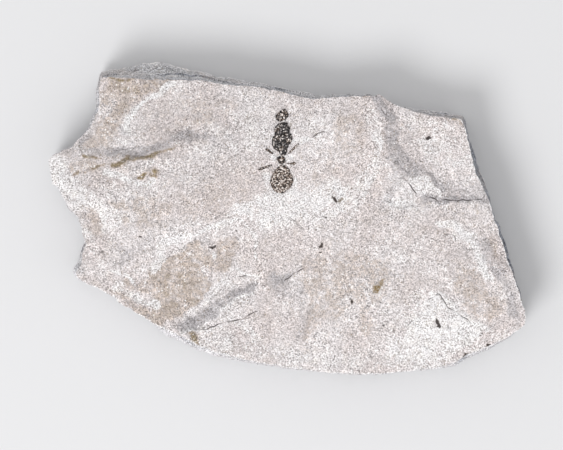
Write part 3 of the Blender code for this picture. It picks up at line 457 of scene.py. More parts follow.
# Cracks: (depth, how dark, line), in millimetres
CRACKS = {
    "below_diagonal": (0.12, 0.85, [(-10.74, -13.34), (-9.48, -13.22), (-8.64, -12.89),
        (-7.55, -12.47), (-5.86, -12.17), (-5.18, -12.0), (-4.43, -11.45), (-3.5, -11.03)]),
    "short_south": (0.12, 1.0, [(-6.78, -14.1), (-6.06, -13.92), (-5.27, -13.56)]),
    "upright": (0.08, 0.9, [(-6.36, -5.22), (-6.32, -6.06)]),
    "plate_foot": (0.08, 0.75, [(-5.94, -6.84), (-4.98, -6.9), (-4.14, -6.96)]),
    "hollow_line": (0.10, 0.8, [(-0.54, -7.5), (0.66, -6.66), (1.5, -6.18), (2.46, -5.7)]),
    "centre_crack": (0.06, 0.5, [(0.02, 0.42), (0.66, -0.06), (1.38, -0.66),
        (2.22, -1.68)]),
    "short_upright": (0.05, 0.3, [(-0.46, -2.46), (-0.46, -3.3)]),
    "ridge_crack": (0.12, 1.0, [(13.24, 4.79), (14.03, 4.81), (14.46, 4.26), (14.99, 3.56),
        (15.42, 2.82)]),
    "hollow_crack": (0.12, 0.85, [(16.4, 2.4), (17.3, 2.5), (18.1, 2.15), (19.2, 2.25),
        (20.6, 2.2), (22.0, 2.3), (23.4, 2.3)]),
    "crest_dark_west": (0.06, 0.6, [(-19.9, 6.95), (-19.2, 7.15), (-18.7, 7.2)]),
    "crest_dark_east": (0.06, 0.6, [(-17.6, 7.45), (-17.0, 7.5), (-16.5, 7.55)]),
    "ridge_streak": (0.08, 0.45, [(10.7, 14.9), (10.9, 13.9), (11.5, 12.8), (12.1, 12.3)]),
    "ridge_fleck": (0.06, 0.5, [(11.4, 10.2), (11.8, 10.3)]),
    "ridge_low": (0.07, 0.35, [(12.9, 7.3), (13.4, 6.6), (14.0, 5.9), (15.0, 5.3)]),
    "east_short": (0.07, 0.7, [(19.82, 8.82), (20.34, 8.64), (20.78, 8.24)]),
    "east_curl": (0.08, 0.6, [(18.42, -1.98), (19.26, -1.86), (20.04, -2.06),
        (20.34, -2.7)]),
    "east_curl_low": (0.08, 0.6, [(21.16, -2.82), (21.42, -3.36), (21.76, -3.73),
        (22.72, -3.62)]),
    "plateau_line": (0.09, 0.8, [(16.86, -9.72), (17.58, -9.3), (18.3, -9.16),
        (19.2, -10.58), (20.46, -11.34), (22.14, -12.6)]),
    "scarp_line": (0.06, 0.6, [(-19.98, 8.28), (-19.14, 8.34), (-18.3, 8.4)]),
    "small_left": (0.06, 0.7, [(-9.3, 11.28), (-9.06, 10.86)]),
    "west_line": (0.06, 0.6, [(-21.06, -5.4), (-20.34, -5.28), (-19.62, -5.22)]),
    "right_middle_trace": (0.06, 0.9, [(2.99, 9.71), (3.36, 10.0), (3.68, 10.2),
        (4.13, 10.38), (4.58, 10.3)]),
    "right_hind_trace": (0.04, 0.5, [(1.02, 6.4), (1.62, 6.44), (2.27, 6.52)]),
    "left_hind_trace": (0.04, 0.5, [(-3.54, 5.63), (-3.96, 5.44), (-4.31, 5.3)]),
}

# Specks of carbon and rust: (x, y, half length, half width, turn in degrees, how dark,
# how brown)
FLECKS = [
    (10.65, -8.50, 0.66, 0.40, 52.0, 0.15, 1.0),
    (11.25, -7.70, 0.55, 0.22, 54.0, 0.10, 0.85),
    (18.02, -12.5, 0.62, 0.20, -68.0, 1.0, 0.0), (-8.72, -3.38, 0.22, 0.13, 35.0, 1.0, 0.0),
    (-9.12, -3.50, 0.25, 0.12, -10.0, 1.0, 0.0), (-9.42, -3.40, 0.12, 0.07, 40.0, 0.8, 0.0),
    (3.98, -3.37, 0.24, 0.17, 45.0, 0.9, 0.3), (4.14, -3.06, 0.16, 0.12, 0.0, 0.8, 0.3),
    (3.96, -4.08, 0.12, 0.10, 0.0, 0.9, 0.0), (5.70, 2.26, 0.40, 0.16, -42.0, 0.85, 0.7),
    (6.42, 2.22, 0.36, 0.14, 40.0, 0.4, 0.8), (16.86, 9.66, 0.30, 0.22, 10.0, 1.0, 0.0),
    (-17.6, -2.15, 0.14, 0.12, 0.0, 1.0, 0.0), (11.99, 3.13, 0.12, 0.12, 0.0, 0.9, 0.0),
    (8.82, 4.5, 0.11, 0.11, 0.0, 0.8, 0.0), (10.26, 4.62, 0.10, 0.10, 0.0, 0.7, 0.0),
    (4.58, 0.10, 0.11, 0.11, 0.0, 0.8, 0.0), (7.73, -9.95, 0.20, 0.12, 80.0, 0.9, 0.3),
    (11.51, -12.8, 0.12, 0.12, 0.0, 0.8, 0.0), (21.5, -16.45, 0.42, 0.24, 25.0, 0.9, 0.6),
    (24.2, -15.2, 0.30, 0.18, 20.0, 0.8, 0.5), (-10.1, 6.0, 0.14, 0.12, 0.0, 0.7, 0.2),
    (-12.1, 11.9, 0.12, 0.11, 0.0, 0.8, 0.0), (0.42, 11.25, 0.30, 0.07, 68.0, 0.45, 0.5),
    (-1.15, 7.65, 0.13, 0.08, 20.0, 0.35, 0.6), (-0.70, 7.48, 0.16, 0.09, 90.0, 0.30, 0.7),
    (-0.70, 6.50, 0.12, 0.07, 90.0, 0.35, 0.5), (13.2, 12.8, 0.30, 0.07, 32.0, 0.45, 0.0),
    (15.4, 2.8, 0.22, 0.07, -45.0, 0.55, 0.0), (22.8, 0.8, 0.22, 0.12, 80.0, 0.0, 0.7),
]

# Ant, in millimetres ----------------------------------------------------------------

FILM_SINK = 0.03           # how far the film's edge is bedded in the stone
FILM_EDGE = 0.07           # thickness of the film at its outline
FILM_GAP = 0.02
FURROW_WIDTH = 0.16
SHOULDER = 0.55            # distance from the outline at which the crown is reached
WRINKLES = 0.045           # height of the film's wrinkles
WINDOW_DEPTH = 0.07        # depth of the places where the stone shows through the film

# Each body patch: its outline, clockwise from the front, the height of its crown, the
# furrows that cross it where its plates meet, as (y, share of the height lost), its
# tone from 0, black, to 1, bare stone, and how brown it is. Marks are ovals where the
# film is darker (under zero) or paler, as (x, y, half width, half length, amount).
BODY_PATCHES = {
    "head": dict(
        rise=0.19, furrows=[], tone=0.31, brown=0.72, rim=0.20,
        outline=[(-0.72, 13.02), (-0.38, 13.12), (-0.12, 12.93), (0.13, 12.46),
                 (-0.04, 11.98), (-0.34, 11.80), (-0.66, 11.68), (-1.02, 11.70),
                 (-1.30, 11.84), (-1.44, 12.20), (-1.30, 12.60), (-1.04, 12.80)],
        marks=[(-0.63, 12.12, 0.12, 0.10, -0.8), (-0.68, 12.44, 0.15, 0.13, 0.40),
               (-1.12, 12.00, 0.14, 0.11, 0.30), (-0.42, 12.18, 0.12, 0.14, 0.35),
               (-0.14, 12.35, 0.07, 0.07, 0.45), (-0.60, 11.88, 0.12, 0.09, 0.45),
               (-0.92, 12.50, 0.18, 0.14, 0.12), (-0.55, 12.95, 0.26, 0.12, 0.22),
               (-0.98, 12.14, 0.06, 0.12, -0.35), (-0.75, 12.72, 0.30, 0.07, -0.30),
               (-0.10, 12.78, 0.16, 0.16, -0.28), (-0.36, 12.62, 0.10, 0.09, -0.30),
               (-0.12, 12.02, 0.12, 0.08, -0.30), (-1.20, 11.80, 0.20, 0.07, -0.35),
               (-1.36, 12.14, 0.06, 0.14, -0.35), (-1.26, 12.44, 0.10, 0.07, -0.25),
               (0.04, 12.45, 0.06, 0.22, -0.25)]),
    "thorax": dict(
        rise=0.24, furrows=[(10.15, 0.5), (8.15, 0.35)], tone=0.30, brown=0.40, rim=0.14,
        outline=[(-0.50, 11.55), (-0.05, 11.48), (0.10, 11.10), (0.30, 10.85),
                 (0.28, 10.38), (0.50, 10.08), (0.56, 9.62), (0.46, 9.20),
                 (0.20, 8.88), (0.06, 8.40), (-0.06, 7.95), (-0.26, 7.62),
                 (-0.58, 7.53), (-0.95, 7.72), (-1.08, 8.02), (-1.48, 8.28),
                 (-1.76, 8.60), (-1.82, 9.05), (-1.88, 9.42), (-1.74, 9.86),
                 (-1.52, 10.06), (-1.60, 10.36), (-1.62, 10.70), (-1.28, 11.20),
                 (-0.92, 11.45)],
        marks=[(-0.62, 11.45, 0.22, 0.07, -0.35), (-0.20, 11.38, 0.12, 0.08, -0.30),
               (-0.94, 11.02, 0.09, 0.07, -0.40), (-0.70, 10.96, 0.08, 0.07, -0.40),
               (-0.44, 11.10, 0.06, 0.16, -0.45), (-0.08, 11.12, 0.09, 0.11, -0.50),
               (0.20, 10.82, 0.10, 0.12, -0.45), (0.10, 10.56, 0.09, 0.12, -0.40),
               (-1.10, 10.70, 0.12, 0.08, -0.35), (-1.32, 10.42, 0.12, 0.10, -0.30),
               (-1.42, 10.20, 0.08, 0.12, -0.35), (-0.32, 10.30, 0.12, 0.07, -0.40),
               (-0.75, 10.15, 0.11, 0.10, -0.35), (-0.84, 9.86, 0.09, 0.07, -0.35),
               (-0.42, 10.00, 0.06, 0.12, -0.35), (-0.16, 9.90, 0.16, 0.06, -0.25),
               (-0.30, 9.32, 0.26, 0.19, -0.32), (-0.66, 9.34, 0.10, 0.07, -0.5),
               (-1.15, 9.25, 0.24, 0.12, -0.28), (-0.90, 8.96, 0.15, 0.10, -0.6),
               (-0.74, 8.78, 0.08, 0.14, -0.5), (-1.12, 8.78, 0.10, 0.08, -0.35),
               (-1.40, 8.60, 0.20, 0.14, -0.22), (-1.28, 8.20, 0.12, 0.08, -0.6),
               (-1.66, 9.80, 0.10, 0.09, -0.45), (-1.80, 9.30, 0.06, 0.26, -0.25),
               (-0.70, 8.48, 0.08, 0.10, -0.40), (-0.14, 8.26, 0.10, 0.10, -0.55),
               (-0.36, 8.84, 0.10, 0.09, -0.35), (0.10, 8.96, 0.12, 0.08, -0.35),
               (-0.18, 7.82, 0.10, 0.14, -0.30), (-0.98, 7.94, 0.08, 0.10, -0.35),
               (-0.60, 7.74, 0.12, 0.06, -0.30),
               (-1.10, 11.10, 0.10, 0.09, 0.30), (-0.80, 10.74, 0.16, 0.16, 0.22),
               (-1.40, 10.85, 0.14, 0.16, 0.18),
               (-0.48, 10.66, 0.08, 0.10, 0.35), (-1.00, 10.38, 0.12, 0.08, 0.25),
               (-0.16, 10.10, 0.12, 0.07, 0.45), (0.03, 9.98, 0.06, 0.08, 0.50),
               (0.35, 9.86, 0.08, 0.10, 0.50), (-1.28, 9.84, 0.22, 0.13, 0.22),
               (-0.62, 9.64, 0.46, 0.09, 0.28), (-0.86, 9.32, 0.07, 0.15, 0.75),
               (-0.60, 8.98, 0.06, 0.22, 0.50), (-1.66, 9.10, 0.07, 0.28, 0.32),
               (0.32, 9.40, 0.16, 0.24, 0.18), (-0.20, 8.64, 0.09, 0.08, 0.45),
               (-0.54, 8.32, 0.16, 0.15, 0.28), (-0.76, 7.92, 0.10, 0.08, 0.40),
               (-0.42, 7.62, 0.12, 0.08, 0.25)]),
    "petiole": dict(
        rise=0.17, furrows=[], tone=0.35, brown=0.65, rim=0.12,
        outline=[(-0.62, 7.44), (-0.36, 7.36), (-0.28, 7.02), (-0.32, 6.68),
                 (-0.68, 6.55), (-1.04, 6.60), (-1.16, 6.88), (-1.36, 7.12),
                 (-1.02, 7.42)],
        marks=[(-0.76, 6.98, 0.16, 0.07, 0.60), (-0.72, 7.30, 0.05, 0.16, 0.40),
               (-1.22, 7.10, 0.14, 0.10, 0.12), (-0.97, 7.32, 0.09, 0.08, -0.30),
               (-0.56, 7.20, 0.08, 0.18, -0.32), (-0.36, 7.06, 0.06, 0.08, -0.25),
               (-0.96, 6.74, 0.14, 0.13, -0.25), (-0.58, 6.76, 0.10, 0.10, -0.28),
               (-0.36, 6.82, 0.06, 0.12, -0.20), (-0.76, 6.66, 0.04, 0.12, 0.25)]),
    "gaster": dict(
        rise=0.26, furrows=[(5.15, 0.35), (4.55, 0.3), (3.85, 0.3)], tone=0.49,
        brown=1.05, rim=0.22,
        outline=[(-0.70, 6.44), (-0.36, 6.34), (-0.04, 6.16), (0.28, 5.82),
                 (0.30, 5.52), (0.55, 5.28), (0.67, 4.90), (0.64, 4.36),
                 (0.36, 3.76), (-0.16, 3.26), (-0.60, 3.04), (-1.02, 3.05),
                 (-1.44, 3.22), (-1.82, 3.66), (-2.02, 4.20), (-2.02, 4.70),
                 (-1.80, 5.30), (-1.54, 5.78), (-1.10, 6.22)],
        marks=[(-0.72, 6.12, 0.16, 0.24, 0.30), (-0.42, 6.00, 0.14, 0.12, 0.15),
               (-1.20, 5.76, 0.09, 0.07, -0.35), (-0.34, 6.26, 0.08, 0.06, -0.35),
               (-1.08, 6.16, 0.16, 0.07, -0.22), (0.14, 5.98, 0.14, 0.10, -0.20),
               (0.27, 5.74, 0.08, 0.14, -0.25), (0.12, 5.44, 0.09, 0.12, -0.32),
               (-0.10, 5.78, 0.10, 0.14, -0.15), (-0.84, 5.28, 0.08, 0.08, -0.22),
               (-0.36, 5.30, 0.08, 0.10, 0.30), (-1.30, 5.30, 0.06, 0.18, -0.15),
               (0.28, 5.16, 0.12, 0.06, -0.15), (0.48, 5.02, 0.12, 0.18, 0.10),
               (-1.16, 4.68, 0.34, 0.06, -0.55), (-0.58, 4.72, 0.14, 0.05, -0.30),
               (-0.36, 4.88, 0.18, 0.06, -0.25), (-0.08, 4.78, 0.06, 0.12, -0.32),
               (-0.24, 4.72, 0.07, 0.14, 0.30), (-0.62, 4.56, 0.10, 0.05, 0.30),
               (-1.25, 4.45, 0.15, 0.06, 0.60), (-0.42, 4.20, 0.18, 0.07, 0.60),
               (-1.46, 4.46, 0.06, 0.07, -0.45), (-0.25, 4.42, 0.07, 0.06, -0.55),
               (0.12, 4.43, 0.06, 0.06, -0.40), (-1.20, 4.26, 0.18, 0.08, -0.38),
               (-0.34, 3.98, 0.27, 0.08, -0.48), (0.12, 4.05, 0.07, 0.06, -0.50),
               (0.02, 4.20, 0.06, 0.05, -0.30), (-1.24, 3.85, 0.32, 0.06, -0.38),
               (-1.20, 4.08, 0.36, 0.06, 0.32), (-0.04, 3.80, 0.14, 0.07, 0.25),
               (-0.58, 3.82, 0.12, 0.07, 0.25), (-0.85, 3.72, 0.07, 0.06, -0.35),
               (-0.36, 3.72, 0.06, 0.06, -0.25), (-1.06, 3.42, 0.05, 0.14, -0.22),
               (-0.70, 3.42, 0.20, 0.10, 0.12), (-1.76, 3.96, 0.12, 0.16, -0.28),
               (0.46, 4.06, 0.06, 0.10, -0.30), (-1.86, 4.60, 0.08, 0.20, 0.10),
               (0.24, 3.74, 0.16, 0.06, -0.25), (-0.55, 3.14, 0.14, 0.05, -0.40)]),
}

# Each leg: its line from the body outward as (x, y, width), and its height
LEG_PATCHES = {
    "right_middle_leg": dict(
        rise=0.11, tone=0.46,
        line=[(0.12, 7.78, 0.14), (0.44, 8.10, 0.22), (0.84, 8.50, 0.25),
              (1.16, 8.80, 0.24), (1.38, 8.98, 0.12)]),
    "left_middle_leg": dict(
        rise=0.12, tone=0.40,
        line=[(-1.70, 7.78, 0.14), (-1.94, 7.88, 0.24), (-2.22, 8.12, 0.24),
              (-2.46, 8.26, 0.28), (-2.66, 8.34, 0.12)]),
    "right_hind_leg": dict(
        rise=0.10, tone=0.46,
        line=[(-0.04, 6.60, 0.10), (0.26, 6.60, 0.15), (0.56, 6.60, 0.24),
              (0.76, 6.60, 0.38), (0.98, 6.70, 0.16)]),
    "left_hind_leg": dict(
        rise=0.11, tone=0.36,
        line=[(-1.84, 6.42, 0.12), (-2.20, 6.30, 0.22), (-2.62, 6.18, 0.24),
              (-3.06, 5.98, 0.26), (-3.54, 5.84, 0.18)]),
}

# Stage -------------------------------------------------------------------------------

LENS = 300.0               # millimetres, on a sensor 36 mm wide
SENSOR = 36.0
VIEW_CENTRE = (-0.72, -0.78)
VIEW_HEIGHT = 563.0        # above the bedding face, in millimetres
LIGHT_SOURCE = (-0.55, -0.80, 1.0)    # the way to the main light
LIGHT_DISTANCE = 900.0
FLOOR_RADIUS = 3000.0


# Numbers along lines and over surfaces ----------------------------------------------

def fade(t):
    """Goes smoothly from 0 to 1 as t does."""
    t = np.clip(t, 0.0, 1.0)
    return t * t * (3.0 - 2.0 * t)


def smooth_noise(x, y, cell, seed, creased=False):
    """Random values between -1 and 1, in lumps (or flat facets) about a cell across."""
    lattice = np.random.RandomState(seed).uniform(-1.0, 1.0, (64, 64))
    u = np.asarray(x) / cell
    v = np.asarray(y) / cell
    column = np.floor(u).astype(int)
    row = np.floor(v).astype(int)
    across = u - column if creased else fade(u - column)
    along = fade(v - row)
    low = (lattice[column % 64, row % 64] * (1.0 - across)
           + lattice[(column + 1) % 64, row % 64] * across)
    high = (lattice[column % 64, (row + 1) % 64] * (1.0 - across)
            + lattice[(column + 1) % 64, (row + 1) % 64] * across)
    return low * (1.0 - along) + high * along


def curve_through(points, parts, closed=False):
    """Points on a smooth curve through the given ones, `parts` to each span."""
    points = np.array(points, dtype=float)
    count = len(points)
    spans = count if closed else count - 1
    curve = []
    for i in range(spans):
        near = [(i + k) % count if closed else min(max(i + k, 0), count - 1)
                for k in (-1, 0, 1, 2)]
        before, start, end, after = points[near]
        for t in np.arange(parts) / parts:
            curve.append(0.5 * (2.0 * start
                                + (end - before) * t
                                + (2.0 * before - 5.0 * start + 4.0 * end - after) * t ** 2
                                + (3.0 * start - before - 3.0 * end + after) * t ** 3))
    if not closed:
        curve.append(points[-1])
    return np.array(curve)


def divided(points, step, closed):
    """The line with every side divided into parts about one step long."""
    points = np.array(points, dtype=float)
    ends = np.roll(points, -1, axis=0) if closed else points[1:]
    line = []
    for start, end in zip(points, ends):
        parts = max(1, round(math.dist(start[:2], end[:2]) / step))
        line.extend(start + (end - start) * k / parts for k in range(parts))
    if not closed:
        line.append(points[-1])
    return np.array(line)


def distance_to_line(x, y, line):
    """Distance to a line (above zero on its left) and how far along it that is."""
    start = line[:-1]
    run = line[1:] - start
    length = np.hypot(run[:, 0], run[:, 1])
    begins = np.concatenate(([0.0], np.cumsum(length)[:-1]))
    apart = np.empty(len(x))
    along = np.empty(len(x))
    for block in np.array_split(np.arange(len(x)), 1 + len(x) // 4000):
        from_x = x[block, None] - start[None, :, 0]
        from_y = y[block, None] - start[None, :, 1]
        share = np.clip((from_x * run[:, 0] + from_y * run[:, 1]) / length ** 2, 0.0, 1.0)
        gap = np.hypot(from_x - share * run[:, 0], from_y - share * run[:, 1])
        nearest = np.argmin(gap, axis=1)
        rows = np.arange(len(block))
        left = (run[nearest, 0] * from_y[rows, nearest]
                - run[nearest, 1] * from_x[rows, nearest])
        apart[block] = np.where(left >= 0.0, 1.0, -1.0) * gap[rows, nearest]
        along[block] = begins[nearest] + share[rows, nearest] * length[nearest]
    return apart, along


def apart_from(x, y, line):
    """Distance to a line, on either side of it."""
    return np.abs(distance_to_line(x, y, line)[0])


def closed_line(loop):
    """A closed outline as a line that comes back to its start."""
    return np.vstack((loop, loop[:1]))


def is_inside(x, y, loop):
    """True for the points inside a closed outline."""
    inside = np.zeros(len(x), dtype=bool)
    for (ax, ay), (bx, by) in zip(loop, np.roll(loop, -1, axis=0)):
        if ay == by:
            continue
        spans = (ay > y) != (by > y)
        inside ^= spans & (x < ax + (y - ay) * (bx - ax) / (by - ay))
    return inside


def outward_from(x, y, outline):
    """Distance out from a smooth closed outline, below zero inside it."""
    loop = curve_through(outline, 4, closed=True)
    apart = apart_from(x, y, closed_line(loop))
    return np.where(is_inside(x, y, loop), -apart, apart)


def moved(x, y, folds):
    """The places moved a little, so that what is laid on them comes out ragged."""
    moved_x, moved_y = x, y
    for size, cell, seed_x, seed_y in folds:
        moved_x = moved_x + size * smooth_noise(x, y, cell, seed_x)
        moved_y = moved_y + size * smooth_noise(x, y, cell, seed_y)
    return moved_x, moved_y


# Relief of the slab -----------------------------------------------------------------

def ledge_shape(x, y, crest, rise, width, reach, taper, grey, pale):
    """Height of one step, half the rise up behind the crest and half down beyond it,
    with how grey its slope is, as fresh stone and painted shade, and how pale its crest is."""
    line = curve_through(crest, 6)
    beyond, along = distance_to_line(x, y, line)
    total = np.hypot(*(line[1:] - line[:-1]).T).sum()
    ends = fade(along / taper) * fade((total - along) / taper)
    run = width * (1.0 + 0.45 * smooth_noise(x, y, 1.9, 23))
    down = fade(beyond / run)
    settle = np.where(beyond < 0.0, np.exp(beyond / reach),
                      np.exp(-np.maximum(beyond - run, 0.0) / reach))
    height = rise * ends * (0.5 - down) * settle
    slope = grey * ends * fade(2.5 * beyond / run) * (1.0 - fade(beyond / (1.4 * run)))
    crest_rub = pale * ends * np.exp(-((beyond + 0.2) / 0.3) ** 2)
    return height, slope, crest_rub


def calm(x, y):
    """0 beside the ant, where the face is level, to 1 away from it."""
    from_spine = apart_from(x, y, np.array(SPINE))
    return fade((from_spine - CALM_NEAR) / (CALM_FAR - CALM_NEAR))


def face_shape(x, y):
    """Height of the bedding face above the underside, without its fine relief, and the
    grey stone and painted shade of its ledges' slopes and the pale stone of their crests."""
    ragged_x, ragged_y = moved(x, y, LINE_FOLDS)
    relief = 0.16 * smooth_noise(x, y, 7.0, 21) + 0.06 * smooth_noise(x, y, 2.4, 22)
    slopes = np.zeros(len(x))
    crests = np.zeros(len(x))
    for ledge in LEDGES.values():
        height, slope, crest = ledge_shape(ragged_x, ragged_y, **ledge)
        relief += height
        slopes = np.maximum(slopes, slope)
        crests = np.maximum(crests, crest)
    for sheet in SHEETS.values():
        outward = outward_from(ragged_x, ragged_y, sheet["outline"])
        relief += sheet["rise"] * (1.0 - fade(outward / sheet["edge"] + 0.5))
    for centre_x, centre_y, radius, height in SWELLS:
        away = np.hypot(x - centre_x, y - centre_y) / radius
        relief += height * np.exp(-away ** 2)
    return THICKNESS + relief * calm(x, y), slopes, crests


def flakes(value):
    """A smooth value turned into flakes that each rise gently and end in a step: the
    height within the flake, from 0 to 1."""
    within = value - np.floor(value)
    return within * fade((1.0 - within) / 0.12)


def fine_relief(x, y):
    """Thin flakes, lumps and grain of the bedding face, in millimetres."""
    moved_x, moved_y = moved(x, y, FLAKE_FOLDS)
    broad = flakes(3.5 * smooth_noise(moved_x, moved_y, 4.6, 55))
    small = flakes(2.5 * smooth_noise(moved_x, moved_y, 1.6, 56))
    kept = fade(0.5 + 1.2 * smooth_noise(x, y, 3.1, 59))
    height = 0.07 * broad * kept + 0.04 * small * (1.0 - 0.6 * kept)
    for size, cell, seed in LUMPS:
        height += size * smooth_noise(x, y, cell, seed)
    return height - 0.03


def underside_height(x, y):
    """Height of the underside: level, but for the scars near its edge."""
    height = np.zeros(len(x))
    for centre_x, centre_y, radius, depth in UNDERSIDE_SCARS:
        away = np.hypot(x - centre_x, y - centre_y)
        height += depth * fade(1.0 - away / radius)
    return height


def edge_wear(apart, along):
    """How far the bedding face is worn or chipped down, by distance from its edge."""
    chips = np.maximum(0.0, smooth_noise(along, along * 0.0, 1.3, 41))
    small = np.maximum(0.0, smooth_noise(along, along * 0.0, 0.45, 42))
    worn = EDGE_WEAR + EDGE_CHIPS * chips ** 2 + 0.10 * small ** 2
    return worn * fade(1.0 - apart / EDGE_RUN)


def side_offset(along, down, flare):
    """How far a point of the side stands out past the edge above it, in flat facets
    and beds that are set back from its slope."""
    bed = np.minimum(np.floor(down * LAMINAE), LAMINAE - 1)
    relief = BED_RELIEF * smooth_noise(along, bed * 9.9, 3.3, 31, creased=True)
    relief += SIDE_RELIEF * smooth_noise(along, down * 3.0, 2.4, 32, creased=True)
    relief += 0.3 * SIDE_RELIEF * smooth_noise(along, bed * 3.1, 0.9, 33)
    relief = np.minimum(relief + FLUSH, 0.0) - np.array(BED_SETBACK)[bed.astype(int)]
    thin_bed = np.floor(down * LAMINAE * 4.0)
    relief -= 0.06 * np.maximum(0.0, smooth_noise(along, thin_bed * 7.7, 1.4, 35))
    relief -= 0.05 * np.maximum(0.0, smooth_noise(along, down * 12.0, 0.5, 36))
    tuck = TUCK * np.maximum(0.0, (down - WIDEST) / (1.0 - WIDEST)) ** 2
    slope = flare * np.minimum(down / WIDEST, 1.0)
    return slope + relief * fade(down * LAMINAE / BED_FACE / 2.0) - tuck


# Colour of the slab -----------------------------------------------------------------

def band_cover(x, y, bands):
    """How strongly soft bands along lines cover each place, from 0 to 1."""
    cover = np.zeros(len(x))
    swelling = 1.0 + 0.55 * smooth_noise(x, y, 1.7, 62)
    for half_width, strength, line in bands.values():
        apart = apart_from(x, y, curve_through(line, 4))
        run = half_width * swelling
        cover = np.maximum(cover, strength * (1.0 - fade(apart / run - 0.4)))
    return cover


def area_cover(x, y, areas):
    """How strongly areas with soft edges cover each place, from 0 to 1."""
    cover = np.zeros(len(x))
    for edge, strength, outline in areas.values():
        outward = outward_from(x, y, outline)
        cover = np.maximum(cover, strength * (1.0 - fade(outward / edge + 0.5)))
    return cover


def shade_cover(x, y):
    """How much lighter, or darker below zero, each place is."""
    shade = np.zeros(len(x))
    for centre_x, centre_y, half_width, half_height, amount in SHADES:
        away = np.hypot((x - centre_x) / half_width, (y - centre_y) / half_height)
        shade += amount * np.exp(-away ** 2)
    return shade


def jagged(line):
    """A crack's line, made crooked."""
    curve = divided(curve_through(line, 6), 0.15, closed=False)
    return np.column_stack(moved(*curve.T, CRACK_FOLDS))


def crack_shape(x, y):
    """Depth and darkness of the cracks, and how pale their lips are, at each place."""
    depth = np.zeros(len(x))
    dark = np.zeros(len(x))
    lips = np.zeros(len(x))
    open_share = fade(0.65 + 1.1 * smooth_noise(x, y, 0.8, 67))
    for deep, darkness, line in CRACKS.values():
        curve = jagged(line)
        apart, along = distance_to_line(x, y, curve)
        total = np.hypot(*(curve[1:] - curve[:-1]).T).sum()
        ends = fade(along / 0.4 + 0.3) * fade((total - along) / 0.4 + 0.3)
        groove = ends * fade(1.2 - np.abs(apart) / GROOVE_HALF)
        lip = ends * fade(1.0 - np.abs(np.abs(apart) - 0.22) / 0.16)
        depth = np.maximum(depth, deep * groove)
        dark = np.maximum(dark, darkness * groove * (0.25 + 0.75 * open_share))
        lips = np.maximum(lips, darkness * lip)
    return depth, dark, lips


def fleck_cover(x, y):
    """How dark and how brown the specks of carbon and rust make each place."""
    dark = np.zeros(len(x))
    brown = np.zeros(len(x))
    wobble = 1.0 + 0.35 * smooth_noise(x, y, 0.22, 61)
    for centre_x, centre_y, length, width, turn, darkness, rust in FLECKS:
        angle = math.radians(turn)
        away_x = x - centre_x
        away_y = y - centre_y
        along = (away_x * math.cos(angle) + away_y * math.sin(angle)) / length
        across = (away_y * math.cos(angle) - away_x * math.sin(angle)) / width
        cover = fade((1.25 - np.hypot(along, across) * wobble) * 2.5)
        dark = np.maximum(dark, darkness * cover)
        brown = np.maximum(brown, rust * cover)
    return dark, brown


# Meshes -----------------------------------------------------------------------------

def filled_face(loop, step, extra=None, clearance=0.6):
    """Triangles that fill an outline, on points set in rows inside it. Extra points
    are kept as they are, and the rows keep clear of them."""
    low = loop.min(axis=0)
    high = loop.max(axis=0)
    row_height = step * math.sqrt(3.0) / 2.0
    grid = []
    for row in range(int((high[1] - low[1]) / row_height) + 1):
        xs = np.arange(low[0] + (row % 2) * step / 2.0, high[0], step)
        grid.append(np.column_stack((xs, np.full(len(xs), low[1] + row * row_height))))
    grid = np.vstack(grid)
    apart = apart_from(grid[:, 0], grid[:, 1], closed_line(loop))
    grid = grid[(apart > clearance * step) & is_inside(grid[:, 0], grid[:, 1], loop)]
    if extra is not None:
        taken = set()
        for point in extra:
            column, row = np.floor(point / (clearance * step)).astype(int)
            taken.update((column + i, row + j) for i in (-1, 0, 1) for j in (-1, 0, 1))
        cells = np.floor(grid / (clearance * step)).astype(int)
        free = [tuple(cell) not in taken for cell in cells]
        grid = np.vstack((grid[np.array(free)], extra))
    points = np.vstack((loop, grid))
    count = len(loop)
    edges = [(i, (i + 1) % count) for i in range(count)]
    corners = [Vector(point) for point in points]
    made, _, faces, _, _, _ = delaunay_2d_cdt(corners, edges, [], 1, 1e-6)
    return np.array([tuple(corner) for corner in made]), np.array(faces)


def outward_directions(loop):
    """Unit vectors that point out of a clockwise outline, evened out along it."""
    ahead = np.roll(loop, -1, axis=0) - np.roll(loop, 1, axis=0)
    out = np.column_stack((-ahead[:, 1], ahead[:, 0]))
    out /= np.hypot(out[:, 0], out[:, 1])[:, None]
    for _ in range(6):
        out = 0.5 * out + 0.25 * (np.roll(out, 1, axis=0) + np.roll(out, -1, axis=0))
        out /= np.hypot(out[:, 0], out[:, 1])[:, None]
    return out


def crack_points(spacing):
    """Points along the floor and both lips of every crack."""
    rows = []
    for _, _, line in CRACKS.values():
        path = divided(jagged(line), spacing, closed=False)
        ahead = np.gradient(path, axis=0)
        ahead /= np.hypot(ahead[:, 0], ahead[:, 1])[:, None]
        out = np.column_stack((-ahead[:, 1], ahead[:, 0]))
        rows += [path + out * (side * 1.3 * GROOVE_HALF) for side in (-1.0, 0.0, 1.0)]
    return np.vstack(rows)


def new_piece(name, points, faces, spreads, finish, sharp_angle, replaced):
    """A piece from points in millimetres, with numbers spread over its points, that
    rides on the main body and stands for one of the plain solids."""
    mesh = bpy.data.meshes.new(name)
    points = np.asarray(points) * MM
    mesh.from_pydata(points.tolist(), [], [tuple(int(i) for i in face) for face in faces])
    mesh.validate()
    mesh.shade_smooth()
    mesh.set_sharp_from_angle(angle=math.radians(sharp_angle))
    for key, values in spreads.items():
        attribute = mesh.attributes.new(key, "FLOAT", "POINT")
        attribute.data.foreach_set("value", np.asarray(values, dtype=np.float32))
    mesh.materials.append(finish)
    piece = bpy.data.objects.new(name, mesh)
    bpy.context.scene.collection.objects.link(piece)
    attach(piece, MAIN_BODY)
    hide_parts(replaced)
    return piece


# Materials --------------------------------------------------------------------------

